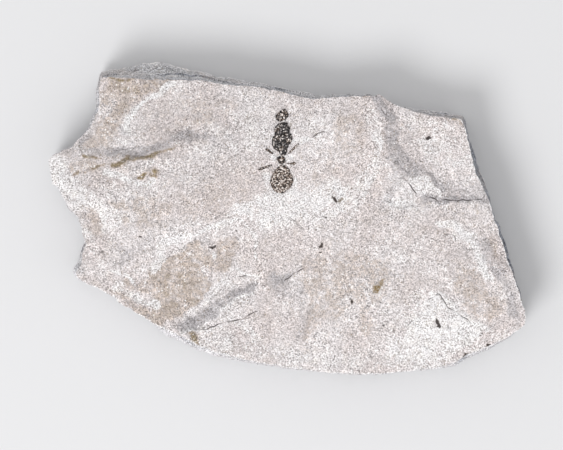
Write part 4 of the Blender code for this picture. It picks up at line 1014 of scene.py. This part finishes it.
class Value:
    """A number, colour or vector that varies over a surface: the output of a node."""

    def __init__(self, surface, socket):
        self.surface = surface
        self.socket = socket

    def maths(self, operation, first, second):
        return self.surface.node("ShaderNodeMath", dict(operation=operation),
                                 {"Value": first, "Value_001": second})

    def __add__(self, other):
        return self.maths("ADD", self, other)

    def __sub__(self, other):
        return self.maths("SUBTRACT", self, other)

    def __rsub__(self, other):
        return self.maths("SUBTRACT", other, self)

    def __mul__(self, other):
        return self.maths("MULTIPLY", self, other)

    def __abs__(self):
        return self.maths("ABSOLUTE", self, 0.0)

    __radd__ = __add__
    __rmul__ = __mul__


class Surface:
    """A material and the nodes that vary it."""

    def __init__(self, name):
        self.material = bpy.data.materials.new(name)
        self.material.use_nodes = True
        self.tree = self.material.node_tree
        self.shader = self.tree.nodes["Principled BSDF"]
        self.place = self.node("ShaderNodeTexCoord", output="Object")

    def feed(self, socket, value):
        """Links a Value to a socket, or sets the socket to a plain number or colour."""
        if isinstance(value, Value):
            self.tree.links.new(value.socket, socket)
        else:
            socket.default_value = value

    def node(self, kind, settings=None, sockets=None, output=None):
        """Adds a node, with its settings first and then the values or links of its
        sockets, and gives one of its outputs."""
        made = self.tree.nodes.new(kind)
        for name, value in (settings or {}).items():
            if name == "stops":
                ramp = made.color_ramp.elements
                for place, colour in value:
                    ramp.new(place).color = opaque(colour)
                ramp.remove(ramp[-1])
                ramp.remove(ramp[0])
            else:
                setattr(made, name, value)
        by_identifier = {socket.identifier: socket for socket in made.inputs}
        for name, value in (sockets or {}).items():
            self.feed(by_identifier[name], value)
        outputs = {socket.identifier: socket for socket in made.outputs}
        return Value(self, outputs[output] if output else made.outputs[0])

    def spread(self, name):
        """The number of that name spread over the mesh's points."""
        return self.node("ShaderNodeAttribute", dict(attribute_name=name), output="Fac")

    def noise(self, cell, detail=2.0, roughness=0.5, place=None, warp=0.0):
        """Cloudy values, mostly from 0.3 to 0.7, in lumps about a cell across."""
        return self.node("ShaderNodeTexNoise", {}, {
            "Vector": place or self.place, "Scale": 1.0 / cell, "Detail": detail,
            "Roughness": roughness, "Distortion": warp})

    def step(self, value, low, high):
        """Goes smoothly from 0 to 1 as the value goes from low to high."""
        return self.node("ShaderNodeMapRange", dict(interpolation_type="SMOOTHSTEP"), {
            "Value": value, "From Min": low, "From Max": high}, output="Result")

    def speckle(self, cell):
        """Values spread from 0 to 1, in specks about a cell across."""
        return self.step(self.noise(cell, 1.0), 0.32, 0.68)

    def grains(self, cell):
        """A number from 0 to 1 for each grain, with sharp edges between them."""
        chance = self.node("ShaderNodeTexVoronoi", {}, {
            "Vector": self.place, "Scale": 1.0 / cell}, output="Color")
        return self.node("ShaderNodeSeparateColor", {}, {"Color": chance}, output="Red")

    def dots(self, cell, radius, share):
        """Round dots, one to a cell at most, with that share of the cells having one."""
        away = self.node("ShaderNodeTexVoronoi", {}, {
            "Vector": self.place, "Scale": 1.0 / cell}, output="Distance")
        return (1.0 - self.step(away, 0.5 * radius, radius)) * self.step(
            self.grains(cell), 1.0 - share - 0.02, 1.0 - share)

    def stretched(self, across, up):
        """The place with distances made longer, so that textures come out flatter."""
        return self.node("ShaderNodeVectorMath", dict(operation="MULTIPLY"), {
            "Vector": self.place, "Vector_001": (across, across, up)}, output="Vector")

    def mix(self, share, first, second):
        """The first colour, going over to the second as the share goes to 1."""
        return self.node("ShaderNodeMix", dict(data_type="RGBA"), {
            "Factor_Float": share, "A_Color": first, "B_Color": second},
            output="Result_Color")

    def scaled(self, colour, value):
        """The colour made lighter or darker, but never lighter than white chalk."""
        made = self.node("ShaderNodeVectorMath", dict(operation="SCALE"), {
            "Vector": colour, "Scale": value}, output="Vector")
        return self.node("ShaderNodeVectorMath", dict(operation="MINIMUM"), {
            "Vector": made, "Vector_001": (CHALK, CHALK, CHALK)}, output="Vector")

    def tinted(self, colour, value, tint):
        """The colour multiplied by a tint, by a share of it."""
        made = self.node("ShaderNodeVectorMath", dict(operation="MULTIPLY"), {
            "Vector": colour, "Vector_001": tint}, output="Vector")
        return self.mix(value, colour, made)

    def bump(self, height, distance, strength):
        """The surface's normal, tilted by a height that is this far at 1."""
        return self.node("ShaderNodeBump", {}, {
            "Height": height, "Distance": distance, "Strength": strength},
            output="Normal")

    def finish(self, colour, roughness, normal, specular):
        """Feeds the shader, and gives the finished material."""
        self.feed(self.shader.inputs["Base Color"], colour)
        self.feed(self.shader.inputs["Roughness"], roughness)
        self.feed(self.shader.inputs["Normal"], normal)
        self.shader.inputs["Specular IOR Level"].default_value = specular
        return self.material


def opaque(colour):
    """A colour with full alpha."""
    return (*colour, 1.0)


def shale_material(shale):
    """Fine-grained shale: beige beds with brown stains and white rubbed stone, and
    grey where it is freshly broken, with painted light and shade on the ledges' slopes,
    the flake edges and the broken side."""
    surface = Surface("shale_stone")
    brown = surface.spread("brown")
    white = surface.spread("white")
    grey = surface.spread("grey")
    dark = surface.spread("dark")
    rust = surface.spread("rust")
    broken = surface.spread("broken")
    side_shade_and_parting = surface.spread("side_shade_and_parting")
    shade = surface.spread("shade")

    cloud = surface.noise(7.0 * MM, 3.0)
    patch = surface.noise(1.8 * MM, 3.0, 0.6)
    crumb = surface.noise(STONE_CRUMB * MM, 3.0, 0.6)
    speckle = surface.speckle(STONE_SPECKLE * MM)
    grit = surface.grains(STONE_GRIT * MM)
    tint = surface.noise(1.2 * MM, 3.0, 0.6)
    breakup = (crumb - 0.5) * 2.4 + (patch - 0.5) * 2.0 + (speckle - 0.5) * 0.35

    bed = surface.mix(surface.step(cloud, 0.38, 0.62), opaque(shale.bed_colour),
                      opaque(shale.pale_colour))
    stained = surface.step(brown + breakup * 0.70, 0.10, 0.80)
    bed = surface.mix(stained, bed, opaque(shale.brown_colour))
    ochre = surface.step(brown + breakup * 0.4, 0.72, 1.05)
    bed = surface.mix(ochre * 0.9, bed, opaque(shale.ochre_colour))
    # White rubbed stone, with the painted highlights of the lit rim and the south-west
    # corner
    rubbed = surface.step(white + breakup * 0.65, 0.2, 0.9)
    bed = surface.mix(rubbed, bed, opaque(shale.white_colour))
    # Grey of fresh stone, and painted shade on the ledges' slopes
    fresh_and_shaded = surface.step(grey + breakup * 0.75, 0.2, 1.05)
    bed = surface.mix(fresh_and_shaded, bed, opaque(shale.grey_colour))

    # The side in lit and shaded copies: painted light on the south and west, the plain grey
    # of the north, painted shade on the east and under the rim
    lit_side = surface.mix(surface.step(side_shade_and_parting, 0.0, 0.5),
                            opaque(shale.side_lit_colour), opaque(shale.side_colour))
    side = surface.mix(surface.step(side_shade_and_parting, 0.5, 1.0), lit_side,
                       opaque(shale.side_shaded_colour))
    layers = surface.noise(1.9 * MM, 4.0, 0.70, surface.stretched(1.0, 7.0))
    layers = surface.step(layers, 0.38, 0.62)
    side = surface.scaled(side, 0.26 + 0.44 * layers + 0.58 * speckle + 0.46 * grit)
    side = surface.mix(stained * 0.35, side, opaque(shale.brown_colour))
    side = surface.mix(surface.step(white + breakup * 0.5, 0.3, 0.8), side,
                       opaque(shale.white_colour))
    bed = surface.mix(broken, bed, side)

    clump = surface.step(surface.noise(1.5 * MM, 3.0, 0.65), 0.46, 0.60)
    rough = 0.85 + 0.30 * surface.step(surface.noise(2.8 * MM, 2.0), 0.42, 0.60)
    curl = surface.noise(STONE_CURL * MM, 2.0, 0.55, warp=1.1)
    # Curled flake edges: a white lip, partly rubbed stone and partly a painted highlight,
    # and a painted shade line beside it
    lip = (1.0 - surface.step(abs(curl - 0.50), 0.02, 0.080)) * clump
    curl_shade = (1.0 - surface.step(abs(curl - 0.60), 0.02, 0.080)) * clump
    sheets = surface.noise(STONE_SHEET * MM, 3.0, 0.6, warp=1.3)
    within = surface.node("ShaderNodeMath", dict(operation="FRACT"), {
        "Value": sheets * SHEET_LEVELS})
    kept = surface.step(surface.noise(1.6 * MM, 2.0), 0.46, 0.56)
    # Steps of the thin sheets: a white brink, partly rubbed stone and partly a painted
    # highlight, and painted shade at the foot of each step
    brink_highlight = surface.step(within, 0.80, 0.96) * kept
    below = (1.0 - surface.step(within, 0.02, 0.14)) * kept

    grain = ((speckle - 0.5) * 0.68 + (grit - 0.5) * 0.64) * rough * (1.0 - 0.35 * broken)
    light = 1.0 + grain + (crumb - 0.5) * 0.2 + lip * 0.32 - curl_shade * 0.20
    bed = surface.scaled(bed, light + brink_highlight * 0.46 - below * 0.14)
    bed = surface.scaled(bed, 1.0 + shade)
    bed = surface.tinted(bed, surface.step(tint, 0.48, 0.70), (1.0, 0.985, 0.965))
    bed = surface.tinted(bed, surface.step(speckle, 0.45, 0.05) * 0.8, (1.0, 0.975, 0.94))
    bed = surface.mix(surface.dots(WHITE_DOT * MM, 0.36, 0.50) * (0.10 + 0.75 * clump)
                      * (1.0 - 0.6 * broken), bed,
                      opaque(shale.speck_colour))
    soot = surface.dots(SOOT_DOT * MM, 0.21, 0.26) * 0.55
    bed = surface.mix(soot, bed, opaque(shale.soot_colour))
    bed = surface.mix(surface.dots(RUST_DOT * MM, 0.24, 0.28) * 0.55, bed,
                      opaque(shale.rust_colour))
    bed = surface.mix(rust * surface.step(speckle, -0.3, 0.7), bed,
                      opaque(shale.rust_colour))
    carbon = surface.step(dark + (speckle - 0.5) * 0.3, 0.15, 0.7)
    bed = surface.mix(carbon * 0.95, bed, opaque(shale.soot_colour))

    height = crumb * 0.6 + speckle * 0.25 + grit * 0.15 + lip * 0.2 + within * kept * 0.7
    normal = surface.bump(height, STONE_BUMP * MM, shale.bump)
    return surface.finish(bed, 0.84 + 0.14 * grit, normal, 0.25)


def film_material(film):
    """Carbonised film: black, brown and blue-grey crumbs over tan, with the stone
    showing through in small windows, and a faint sheen."""
    surface = Surface("carbon_film")
    tone = surface.spread("tone")
    brown = surface.spread("brown")
    blotch = surface.speckle(FILM_BLOTCH * MM)
    speckle = surface.speckle(FILM_SPECKLE * MM)
    grit = surface.grains(FILM_GRIT * MM)
    level = (tone + (blotch - 0.5) * 0.12 + (speckle - 0.5) * 0.74
             + (grit - 0.5) * 0.62)

    cool = surface.node("ShaderNodeValToRGB", dict(stops=(
        (0.16, film.black_colour), (0.40, film.slate_colour),
        (0.66, film.grey_colour), (0.98, film.window_colour))), {"Fac": level})
    warm = surface.node("ShaderNodeValToRGB", dict(stops=(
        (0.12, film.black_colour), (0.37, film.brown_colour),
        (0.63, film.tan_colour), (0.98, film.window_colour))), {"Fac": level})
    hue = surface.step(brown + (surface.noise(0.6 * MM, 2.0) - 0.5) * 3.0, 0.2, 0.8)
    colour = surface.mix(hue, cool, warm)
    normal = surface.bump(speckle * 0.5 + blotch * 0.3 + grit * 0.2,
                          FILM_BUMP * MM, film.bump)
    return surface.finish(colour, 0.45 + 0.35 * grit, normal, 0.40)


# Settings ---------------------------------------------------------------------------

def colour_setting(name, description, default):
    """A colour that a user can change."""
    return FloatVectorProperty(name=name, description=description, subtype="COLOR",
                               size=3, min=0.0, max=1.0, default=default)


def length_setting(name, description, default):
    """A length that a user can change, in metres."""
    return FloatProperty(name=name, description=description, unit="LENGTH",
                         default=default, min=0.0, precision=5)


class FOSSIL_ANT_PG_shale(bpy.types.PropertyGroup):
    """Sizes and colours of the slab"""

    face_step: length_setting("Face spacing", "Spacing of the points of the bedding face",
                              0.18 * MM)
    side_step: length_setting("Side spacing", "Spacing of the points along the side",
                              0.20 * MM)
    base_step: length_setting("Underside spacing", "Spacing of the underside's points",
                              0.60 * MM)
    bed_colour: colour_setting("Bedding", "Beige of the bedding face",
                               (0.566, 0.515, 0.512))
    pale_colour: colour_setting("Pale bedding", "Paler clouds of the bedding face",
                                (0.635, 0.598, 0.604))
    brown_colour: colour_setting("Stain", "Brown stained stone", (0.452, 0.390, 0.357))
    ochre_colour: colour_setting("Ochre", "Deepest of the stains", (0.210, 0.163, 0.090))
    # Also the colour of the painted highlights on the lit rim
    white_colour: colour_setting("Rubbed", "White rubbed stone", (0.722, 0.701, 0.710))
    # Also the colour of the painted shade on the ledges' slopes
    grey_colour: colour_setting("Grey", "Freshly broken stone", (0.398, 0.378, 0.390))
    # Painted light: the broken side where it faces the main light
    side_lit_colour: colour_setting("Pale side", "Palest of the broken side",
                                     (0.575, 0.560, 0.585))
    side_colour: colour_setting("Side", "Grey of the broken side",
                                (0.498, 0.494, 0.515))
    # Painted shade: the broken side where it faces away from the main light
    side_shaded_colour: colour_setting("Dark side", "Darkest of the broken side",
                                     (0.232, 0.244, 0.276))
    speck_colour: colour_setting("White specks", "Grains of white", (0.95, 0.94, 0.94))
    soot_colour: colour_setting("Carbon", "Specks and traces of carbon",
                                (0.040, 0.030, 0.028))
    rust_colour: colour_setting("Rust", "Rusty flecks", (0.240, 0.170, 0.078))
    bump: FloatProperty(name="Grain relief", description="Strength of the grain",
                        default=0.8, min=0.0, max=2.0)


class FOSSIL_ANT_PG_film(bpy.types.PropertyGroup):
    """Sizes and colours of the ant's film"""

    step: length_setting("Film spacing", "Spacing of the points of the film", 0.045 * MM)
    black_colour: colour_setting("Black", "Darkest of the film", (0.006, 0.005, 0.005))
    slate_colour: colour_setting("Slate", "Blue-grey of the film",
                                 (0.052, 0.045, 0.047))
    brown_colour: colour_setting("Brown", "Brown of the film", (0.075, 0.044, 0.028))
    grey_colour: colour_setting("Grey", "Thin grey film", (0.250, 0.230, 0.228))
    tan_colour: colour_setting("Tan", "Thin film over the stone", (0.276, 0.208, 0.166))
    window_colour: colour_setting("Window", "Stone that shows through the film",
                                  (0.86, 0.80, 0.77))
    bump: FloatProperty(name="Wrinkle relief", description="Strength of the wrinkles",
                        default=0.9, min=0.0, max=2.0)


class FOSSIL_ANT_PG_stage(bpy.types.PropertyGroup):
    """Floor and light"""

    floor_colour: colour_setting("Floor", "Colour of the plain floor",
                                 (0.68, 0.68, 0.69))
    main_light: FloatProperty(name="Main light", description="Power of the main light",
                              default=4.9, min=0.0, unit="POWER")
    room_light: FloatProperty(name="Room light", description="Even light from all round",
                              default=0.80, min=0.0)
    light_size: length_setting("Light size", "Width of the main light", 0.45)


class FOSSIL_ANT_PG_all(bpy.types.PropertyGroup):
    """All the settings of the fossil ant"""

    shale: PointerProperty(type=FOSSIL_ANT_PG_shale, name="Shale",
                           description="Sizes and colours of the slab")
    film: PointerProperty(type=FOSSIL_ANT_PG_film, name="Film",
                          description="Sizes and colours of the ant's film")
    stage: PointerProperty(type=FOSSIL_ANT_PG_stage, name="Stage",
                           description="Floor and light")


# Pieces -----------------------------------------------------------------------------

def side_rows():
    """Shares of the way down the side at which its rows of points lie."""
    return [0.0] + [(bed + share) / LAMINAE for bed in range(LAMINAE)
                    for share in BED_ROWS] + [1.0]


def slab_colours(x, y, slopes, crests):
    """Numbers from 0 to 1 that say where each colour of the bedding face lies."""
    ragged_x, ragged_y = moved(x, y, LINE_FOLDS)
    cracks, lips = crack_shape(x, y)[1:]
    fleck_dark, rust = fleck_cover(x, y)
    white = np.maximum(band_cover(ragged_x, ragged_y, WHITE_BANDS),
                       area_cover(ragged_x, ragged_y, WHITE_AREAS))
    brown = np.maximum(band_cover(ragged_x, ragged_y, BROWN_BANDS),
                       area_cover(ragged_x, ragged_y, BROWN_AREAS))
    # Grey of fresh stone, and painted shade on slopes that face away from the main light
    grey = np.maximum(band_cover(ragged_x, ragged_y, GREY_AND_SHADE_BANDS), slopes)
    white = np.maximum(np.maximum(white, crests), 0.7 * lips)
    return {"white": white, "brown": brown, "grey": grey,
            "dark": np.maximum(cracks, fleck_dark), "rust": rust,
            "shade": shade_cover(ragged_x, ragged_y)}


def side_facing_shade(out):
    """Painted light and shade of the broken side by the way it faces: 0 is the lit pale
    stone of the south and west, 0.5 the grey of the north and 1 the painted shade,
    dark blue-grey, of the east."""
    east = fade((out[:, 0] - 0.35) / 0.4)
    north = fade((out[:, 1] + 0.3) / 0.7)
    return np.maximum(east, 0.5 * north)


def rim_rub_and_highlight(apart, lit):
    """How white the edge of the face is, rubbed and with a painted highlight, on the sides
    where lit is above 0.
    """
    return 0.80 * np.clip(lit * 1.6, 0.0, 1.0) * fade(1.2 - np.abs(apart) / 0.16)


class FOSSIL_ANT_OT_slab(bpy.types.Operator):
    """Make the slab of shale: bedding face, broken side and underside"""

    bl_idname = "fossil_ant.slab"
    bl_label = "Make the slab"

    def execute(self, context):
        shale = context.scene.fossil_ant.shale
        stations = divided(OUTLINE, shale.side_step / MM, closed=True)
        edge = stations[:, :2]
        flare = stations[:, 2]
        count = len(edge)
        along = distance_to_line(edge[:, 0], edge[:, 1], closed_line(edge))[1]
        out = outward_directions(edge)
        nibble = (0.10 * smooth_noise(along, 0.0, 0.8, 43)
                  + 0.06 * smooth_noise(along, 0.0, 0.33, 44))
        edge = edge + out * np.minimum(nibble, 0.03)[:, None]
        rows = side_rows()
        lit = -out @ np.array([0.45, 0.90])

        face_points, face_triangles = filled_face(
            edge, shale.face_step / MM, crack_points(0.15))
        x, y = face_points.T
        apart, beside = distance_to_line(x, y, closed_line(edge))
        face_z, slopes, crests = face_shape(x, y)
        face_z += fine_relief(x, y) * (0.4 + 0.6 * calm(x, y))
        face_z -= edge_wear(np.abs(apart), beside)
        face_z -= crack_shape(x, y)[0]
        points = [np.column_stack((face_points, face_z))]
        colours = slab_colours(x, y, slopes, crests)
        # White rubbed edge with a painted highlight, on the edges that face the main light
        # and on the east
        rubbed_and_lit_rim = rim_rub_and_highlight(apart, np.interp(beside, along, np.maximum(lit, 0.8 * out[:, 0])))
        colours["white"] = np.maximum(colours["white"], rubbed_and_lit_rim)
        nothing = np.zeros(len(face_points))
        spreads = {key: [values] for key, values in colours.items()}
        spreads["broken"] = [nothing]
        spreads["side_shade_and_parting"] = [nothing]

        # Painted light and shade of each stretch of the side, by the way it faces
        tones = side_facing_shade(out)
        foot = edge + out * side_offset(along, np.ones(count), flare)[:, None]
        foot_z = underside_height(foot[:, 0], foot[:, 1])
        for down in rows[1:-1]:
            offset = side_offset(along, np.full(count, down), flare)
            row = edge + out * offset[:, None]
            wave = BED_WAVE * math.sin(math.pi * down) * smooth_noise(along, 0.0, 7.0, 34)
            points.append(np.column_stack((row, face_z[:count] * (1.0 - down)
                                           + foot_z * down + wave)))
            arris = (0.35 + 0.50 * fade(2.0 * tones)) * math.exp(
                -((down - WIDEST) / ARRIS_BAND) ** 2)
            share = down * LAMINAE % 1.0
            parting = PARTING_TONE if min(share, 1.0 - share) < PARTING_HALF else 0.0
            parting *= fade(0.6 + smooth_noise(along, down * 9.0, 3.0, 48))
            near_top = max(0.0, 1.0 - down * 9.0)
            for key in colours:
                spreads[key].append(colours[key][:count] * near_top)
            spreads["white"][-1] = np.maximum(spreads["white"][-1], arris)
            spreads["brown"][-1] = np.maximum(
                spreads["brown"][-1], 0.8 * fade(smooth_noise(along, down * 8.0, 4.0, 47)))
            spreads["broken"].append(np.full(count, 1.0))
            # Painted shade by facing and under the rim, with the darker partings between
            # beds
            spreads["side_shade_and_parting"].append(SIDE_SHARE * tones + parting
                                        + UNDER_RIM_SHADE * max(0.0, 1.0 - 2.5 * down))

        base_points, base_triangles = filled_face(foot, shale.base_step / MM)
        base_x, base_y = base_points.T
        base_z = underside_height(base_x, base_y)
        base_z += 0.03 * (1.0 + smooth_noise(base_x, base_y, 1.3, 45))
        points.append(np.column_stack((base_points, base_z)))
        nothing = np.zeros(len(base_points))
        for key in colours:
            spreads[key].append(nothing)
        spreads["brown"][-1] = 0.5 * fade(0.5 + smooth_noise(base_x, base_y, 6.0, 46))
        spreads["broken"].append(nothing)
        spreads["side_shade_and_parting"].append(nothing)

        row_starts = [0] + [len(face_points) + k * count for k in range(len(rows) - 1)]
        faces = [tuple(triangle) for triangle in face_triangles]
        for upper, lower in zip(row_starts, row_starts[1:]):
            for i in range(count):
                j = (i + 1) % count
                faces.append((upper + i, upper + j, lower + j, lower + i))
        faces += [tuple(row_starts[-1] + triangle[::-1]) for triangle in base_triangles]

        low, high = (np.array(corner) / MM for corner in SLAB_BOX)
        points = np.clip(np.vstack(points), low, high)
        new_piece("shale_stone", points, faces,
                  {key: np.concatenate(values) for key, values in spreads.items()},
                  shale_material(shale), 50.0, "shale_slab")
        return {"FINISHED"}


def film_piece(name, loop, height, tone, brown, step, finish):
    """One closed patch of film: a wrinkled upper face over a flat one."""
    top, triangles = filled_face(loop, step)
    x, y = top.T
    rim_count = len(loop)
    count = len(top)
    floor_z = THICKNESS - FILM_SINK
    upper = np.column_stack((top, THICKNESS + FILM_GAP + height(x, y)))
    lower = np.column_stack((top, np.full(count, floor_z)))
    faces = [tuple(triangle) for triangle in triangles]
    faces += [tuple(count + triangle[::-1]) for triangle in triangles]
    for i in range(rim_count):
        j = (i + 1) % rim_count
        faces.append((i, j, count + j, count + i))
    tones = tone(x, y)
    spreads = {"tone": np.concatenate((tones, tones)), "brown": np.full(2 * count, brown)}
    return new_piece(name + "_film", np.vstack((upper, lower)), faces, spreads, finish,
                     50.0, name)


def wrinkles(x, y):
    """Small folds of the film, between 0 and 1."""
    folds = 1.0 - np.abs(smooth_noise(x, y, 0.24, 71)) * 2.0
    fine = smooth_noise(x, y, 0.11, 72)
    return np.clip(0.5 + 0.35 * folds + 0.3 * fine, 0.0, 1.0)


class FOSSIL_ANT_OT_body(bpy.types.Operator):
    """Make the ant's head, thorax, petiole and gaster"""

    bl_idname = "fossil_ant.body"
    bl_label = "Make the ant's body"

    def execute(self, context):
        film = context.scene.fossil_ant.film
        finish = film_material(film)
        for name, patch in BODY_PATCHES.items():
            loop = divided(curve_through(patch["outline"], 4, closed=True),
                           film.step / MM, closed=True)
            line = closed_line(loop)
            along = distance_to_line(loop[:, 0], loop[:, 1], line)[1]
            jag = (0.05 * smooth_noise(along, 0.0, 0.24, 73)
                   + 0.035 * smooth_noise(along, 0.0, 0.10, 75))
            loop = loop + outward_directions(loop) * jag[:, None]

            def tone(x, y, patch=patch, line=line):
                moved_x, moved_y = moved(x, y, MARK_FOLDS)
                level = np.full(len(x), patch["tone"])
                for centre_x, centre_y, width, length, amount in patch["marks"]:
                    away = np.hypot((moved_x - centre_x) / width,
                                    (moved_y - centre_y) / length)
                    level += amount * fade((1.45 - away) / 0.8)
                apart = apart_from(x, y, line)
                rim = patch["rim"] * (1.0 + smooth_noise(x, y, 0.5, 78))
                return level - rim * fade(1.0 - apart / 0.14)

            def height(x, y, patch=patch, line=line, tone=tone):
                apart = apart_from(x, y, line)
                ring = 1.0 - np.clip(apart / SHOULDER, 0.0, 1.0)
                dome = FILM_EDGE + (patch["rise"] - FILM_EDGE) * np.sqrt(1.0 - ring ** 2)
                for furrow_y, share in patch["furrows"]:
                    dome = dome * (1.0 - share * np.exp(-((y - furrow_y)
                                                          / FURROW_WIDTH) ** 2))
                window = fade((tone(x, y) - 0.6) / 0.3)
                dome = dome - WINDOW_DEPTH * window * (1.0 - ring)
                return np.maximum(dome - WRINKLES * wrinkles(x, y), 0.01)

            film_piece(name, loop, height, tone, patch["brown"], film.step / MM, finish)
        return {"FINISHED"}


class FOSSIL_ANT_OT_legs(bpy.types.Operator):
    """Make the ant's legs, as far as their film is kept"""

    bl_idname = "fossil_ant.legs"
    bl_label = "Make the ant's legs"

    def execute(self, context):
        film = context.scene.fossil_ant.film
        finish = film_material(film)
        for name, patch in LEG_PATCHES.items():
            path = curve_through(patch["line"], 6)
            ahead = np.gradient(path[:, :2], axis=0)
            ahead /= np.hypot(ahead[:, 0], ahead[:, 1])[:, None]
            out = np.column_stack((-ahead[:, 1], ahead[:, 0]))
            half = 0.5 * path[:, 2:] * (1.0 + 0.18 * smooth_noise(
                path[:, :1], path[:, 1:2], 0.14, 74))
            left = path[:, :2] + out * half
            right = path[:, :2] - out * half
            loop = divided(np.vstack((left, right[::-1])), film.step / MM, closed=True)
            line = closed_line(loop)
            widest = half.max()

            def height(x, y, patch=patch, line=line, widest=widest):
                apart = apart_from(x, y, line)
                ring = 1.0 - np.clip(apart / widest, 0.0, 1.0)
                arch = patch["rise"] * np.sqrt(1.0 - ring ** 2)
                return np.maximum(arch - 0.02 * wrinkles(x, y), 0.01)

            def tone(x, y, patch=patch, line=line, widest=widest):
                apart = apart_from(x, y, line)
                return patch["tone"] + 0.08 - 0.30 * fade(1.0 - apart / (0.8 * widest))

            film_piece(name, loop, height, tone, 0.75, film.step / MM, finish)
        return {"FINISHED"}


class FOSSIL_ANT_OT_stage(bpy.types.Operator):
    """Make the floor, the light and the camera"""

    bl_idname = "fossil_ant.stage"
    bl_label = "Make the stage"

    def execute(self, context):
        stage = context.scene.fossil_ant.stage
        scene = context.scene
        bpy.ops.mesh.primitive_circle_add(vertices=96, radius=FLOOR_RADIUS * MM,
                                          fill_type="NGON", location=(0.0, 0.0, 0.0))
        floor = context.object
        floor.name = "floor"
        floor.location.z = CAD_BOX[0][2]
        surface = Surface("plain_floor")
        paper = surface.noise(0.8 * MM, 2.0)
        colour = surface.mix(paper * 0.06, opaque(stage.floor_colour),
                             opaque([0.9 * part for part in stage.floor_colour]))
        normal = surface.bump(paper, 0.01 * MM, 0.2)
        floor.data.materials.append(surface.finish(colour, 0.9 + 0.05 * paper, normal, 0.1))

        world = bpy.data.worlds.new("room")
        world.use_nodes = True
        room = world.node_tree.nodes["Background"]
        room.inputs["Color"].default_value = (1.0, 1.0, 1.0, 1.0)
        room.inputs["Strength"].default_value = stage.room_light
        scene.world = world

        lamp = bpy.data.lights.new("main_light", "AREA")
        lamp.shape = "DISK"
        lamp.size = stage.light_size
        lamp.energy = stage.main_light
        source = Vector(LIGHT_SOURCE).normalized()
        light = bpy.data.objects.new("main_light", lamp)
        light.location = source * LIGHT_DISTANCE * MM
        light.rotation_euler = source.to_track_quat("Z", "Y").to_euler()
        scene.collection.objects.link(light)

        lens = bpy.data.cameras.new("camera")
        lens.lens = LENS
        lens.sensor_width = SENSOR
        lens.clip_start = 0.01
        lens.clip_end = 20.0
        camera = bpy.data.objects.new("camera", lens)
        camera.location = Vector((*VIEW_CENTRE, THICKNESS + VIEW_HEIGHT)) * MM
        scene.collection.objects.link(camera)
        scene.camera = camera
        scene.view_settings.view_transform = "Standard"
        return {"FINISHED"}


class FOSSIL_ANT_PT_panel(bpy.types.Panel):
    """The steps that make the fossil ant"""

    bl_idname = "FOSSIL_ANT_PT_panel"
    bl_label = "Fossil Ant"
    bl_space_type = "VIEW_3D"
    bl_region_type = "UI"
    bl_category = "Fossil Ant"

    def draw(self, context):
        for operator in OPERATORS:
            self.layout.operator(operator.bl_idname)
        for group in (context.scene.fossil_ant.shale, context.scene.fossil_ant.film,
                      context.scene.fossil_ant.stage):
            box = self.layout.box()
            for name in group.bl_rna.properties.keys():
                if name not in ("rna_type", "name"):
                    box.prop(group, name)


OPERATORS = (FOSSIL_ANT_OT_stage, FOSSIL_ANT_OT_slab, FOSSIL_ANT_OT_body,
             FOSSIL_ANT_OT_legs)
CLASSES = (FOSSIL_ANT_PG_shale, FOSSIL_ANT_PG_film, FOSSIL_ANT_PG_stage,
           FOSSIL_ANT_PG_all, *OPERATORS, FOSSIL_ANT_PT_panel)


def register():
    for cls in CLASSES:
        bpy.utils.register_class(cls)
    bpy.types.Scene.fossil_ant = PointerProperty(type=FOSSIL_ANT_PG_all)


def unregister():
    del bpy.types.Scene.fossil_ant
    for cls in reversed(CLASSES):
        bpy.utils.unregister_class(cls)


def main():
    register()
    bpy.ops.fossil_ant.stage()
    bpy.ops.fossil_ant.slab()
    bpy.ops.fossil_ant.body()
    bpy.ops.fossil_ant.legs()


if __name__ == "__main__":
    main()
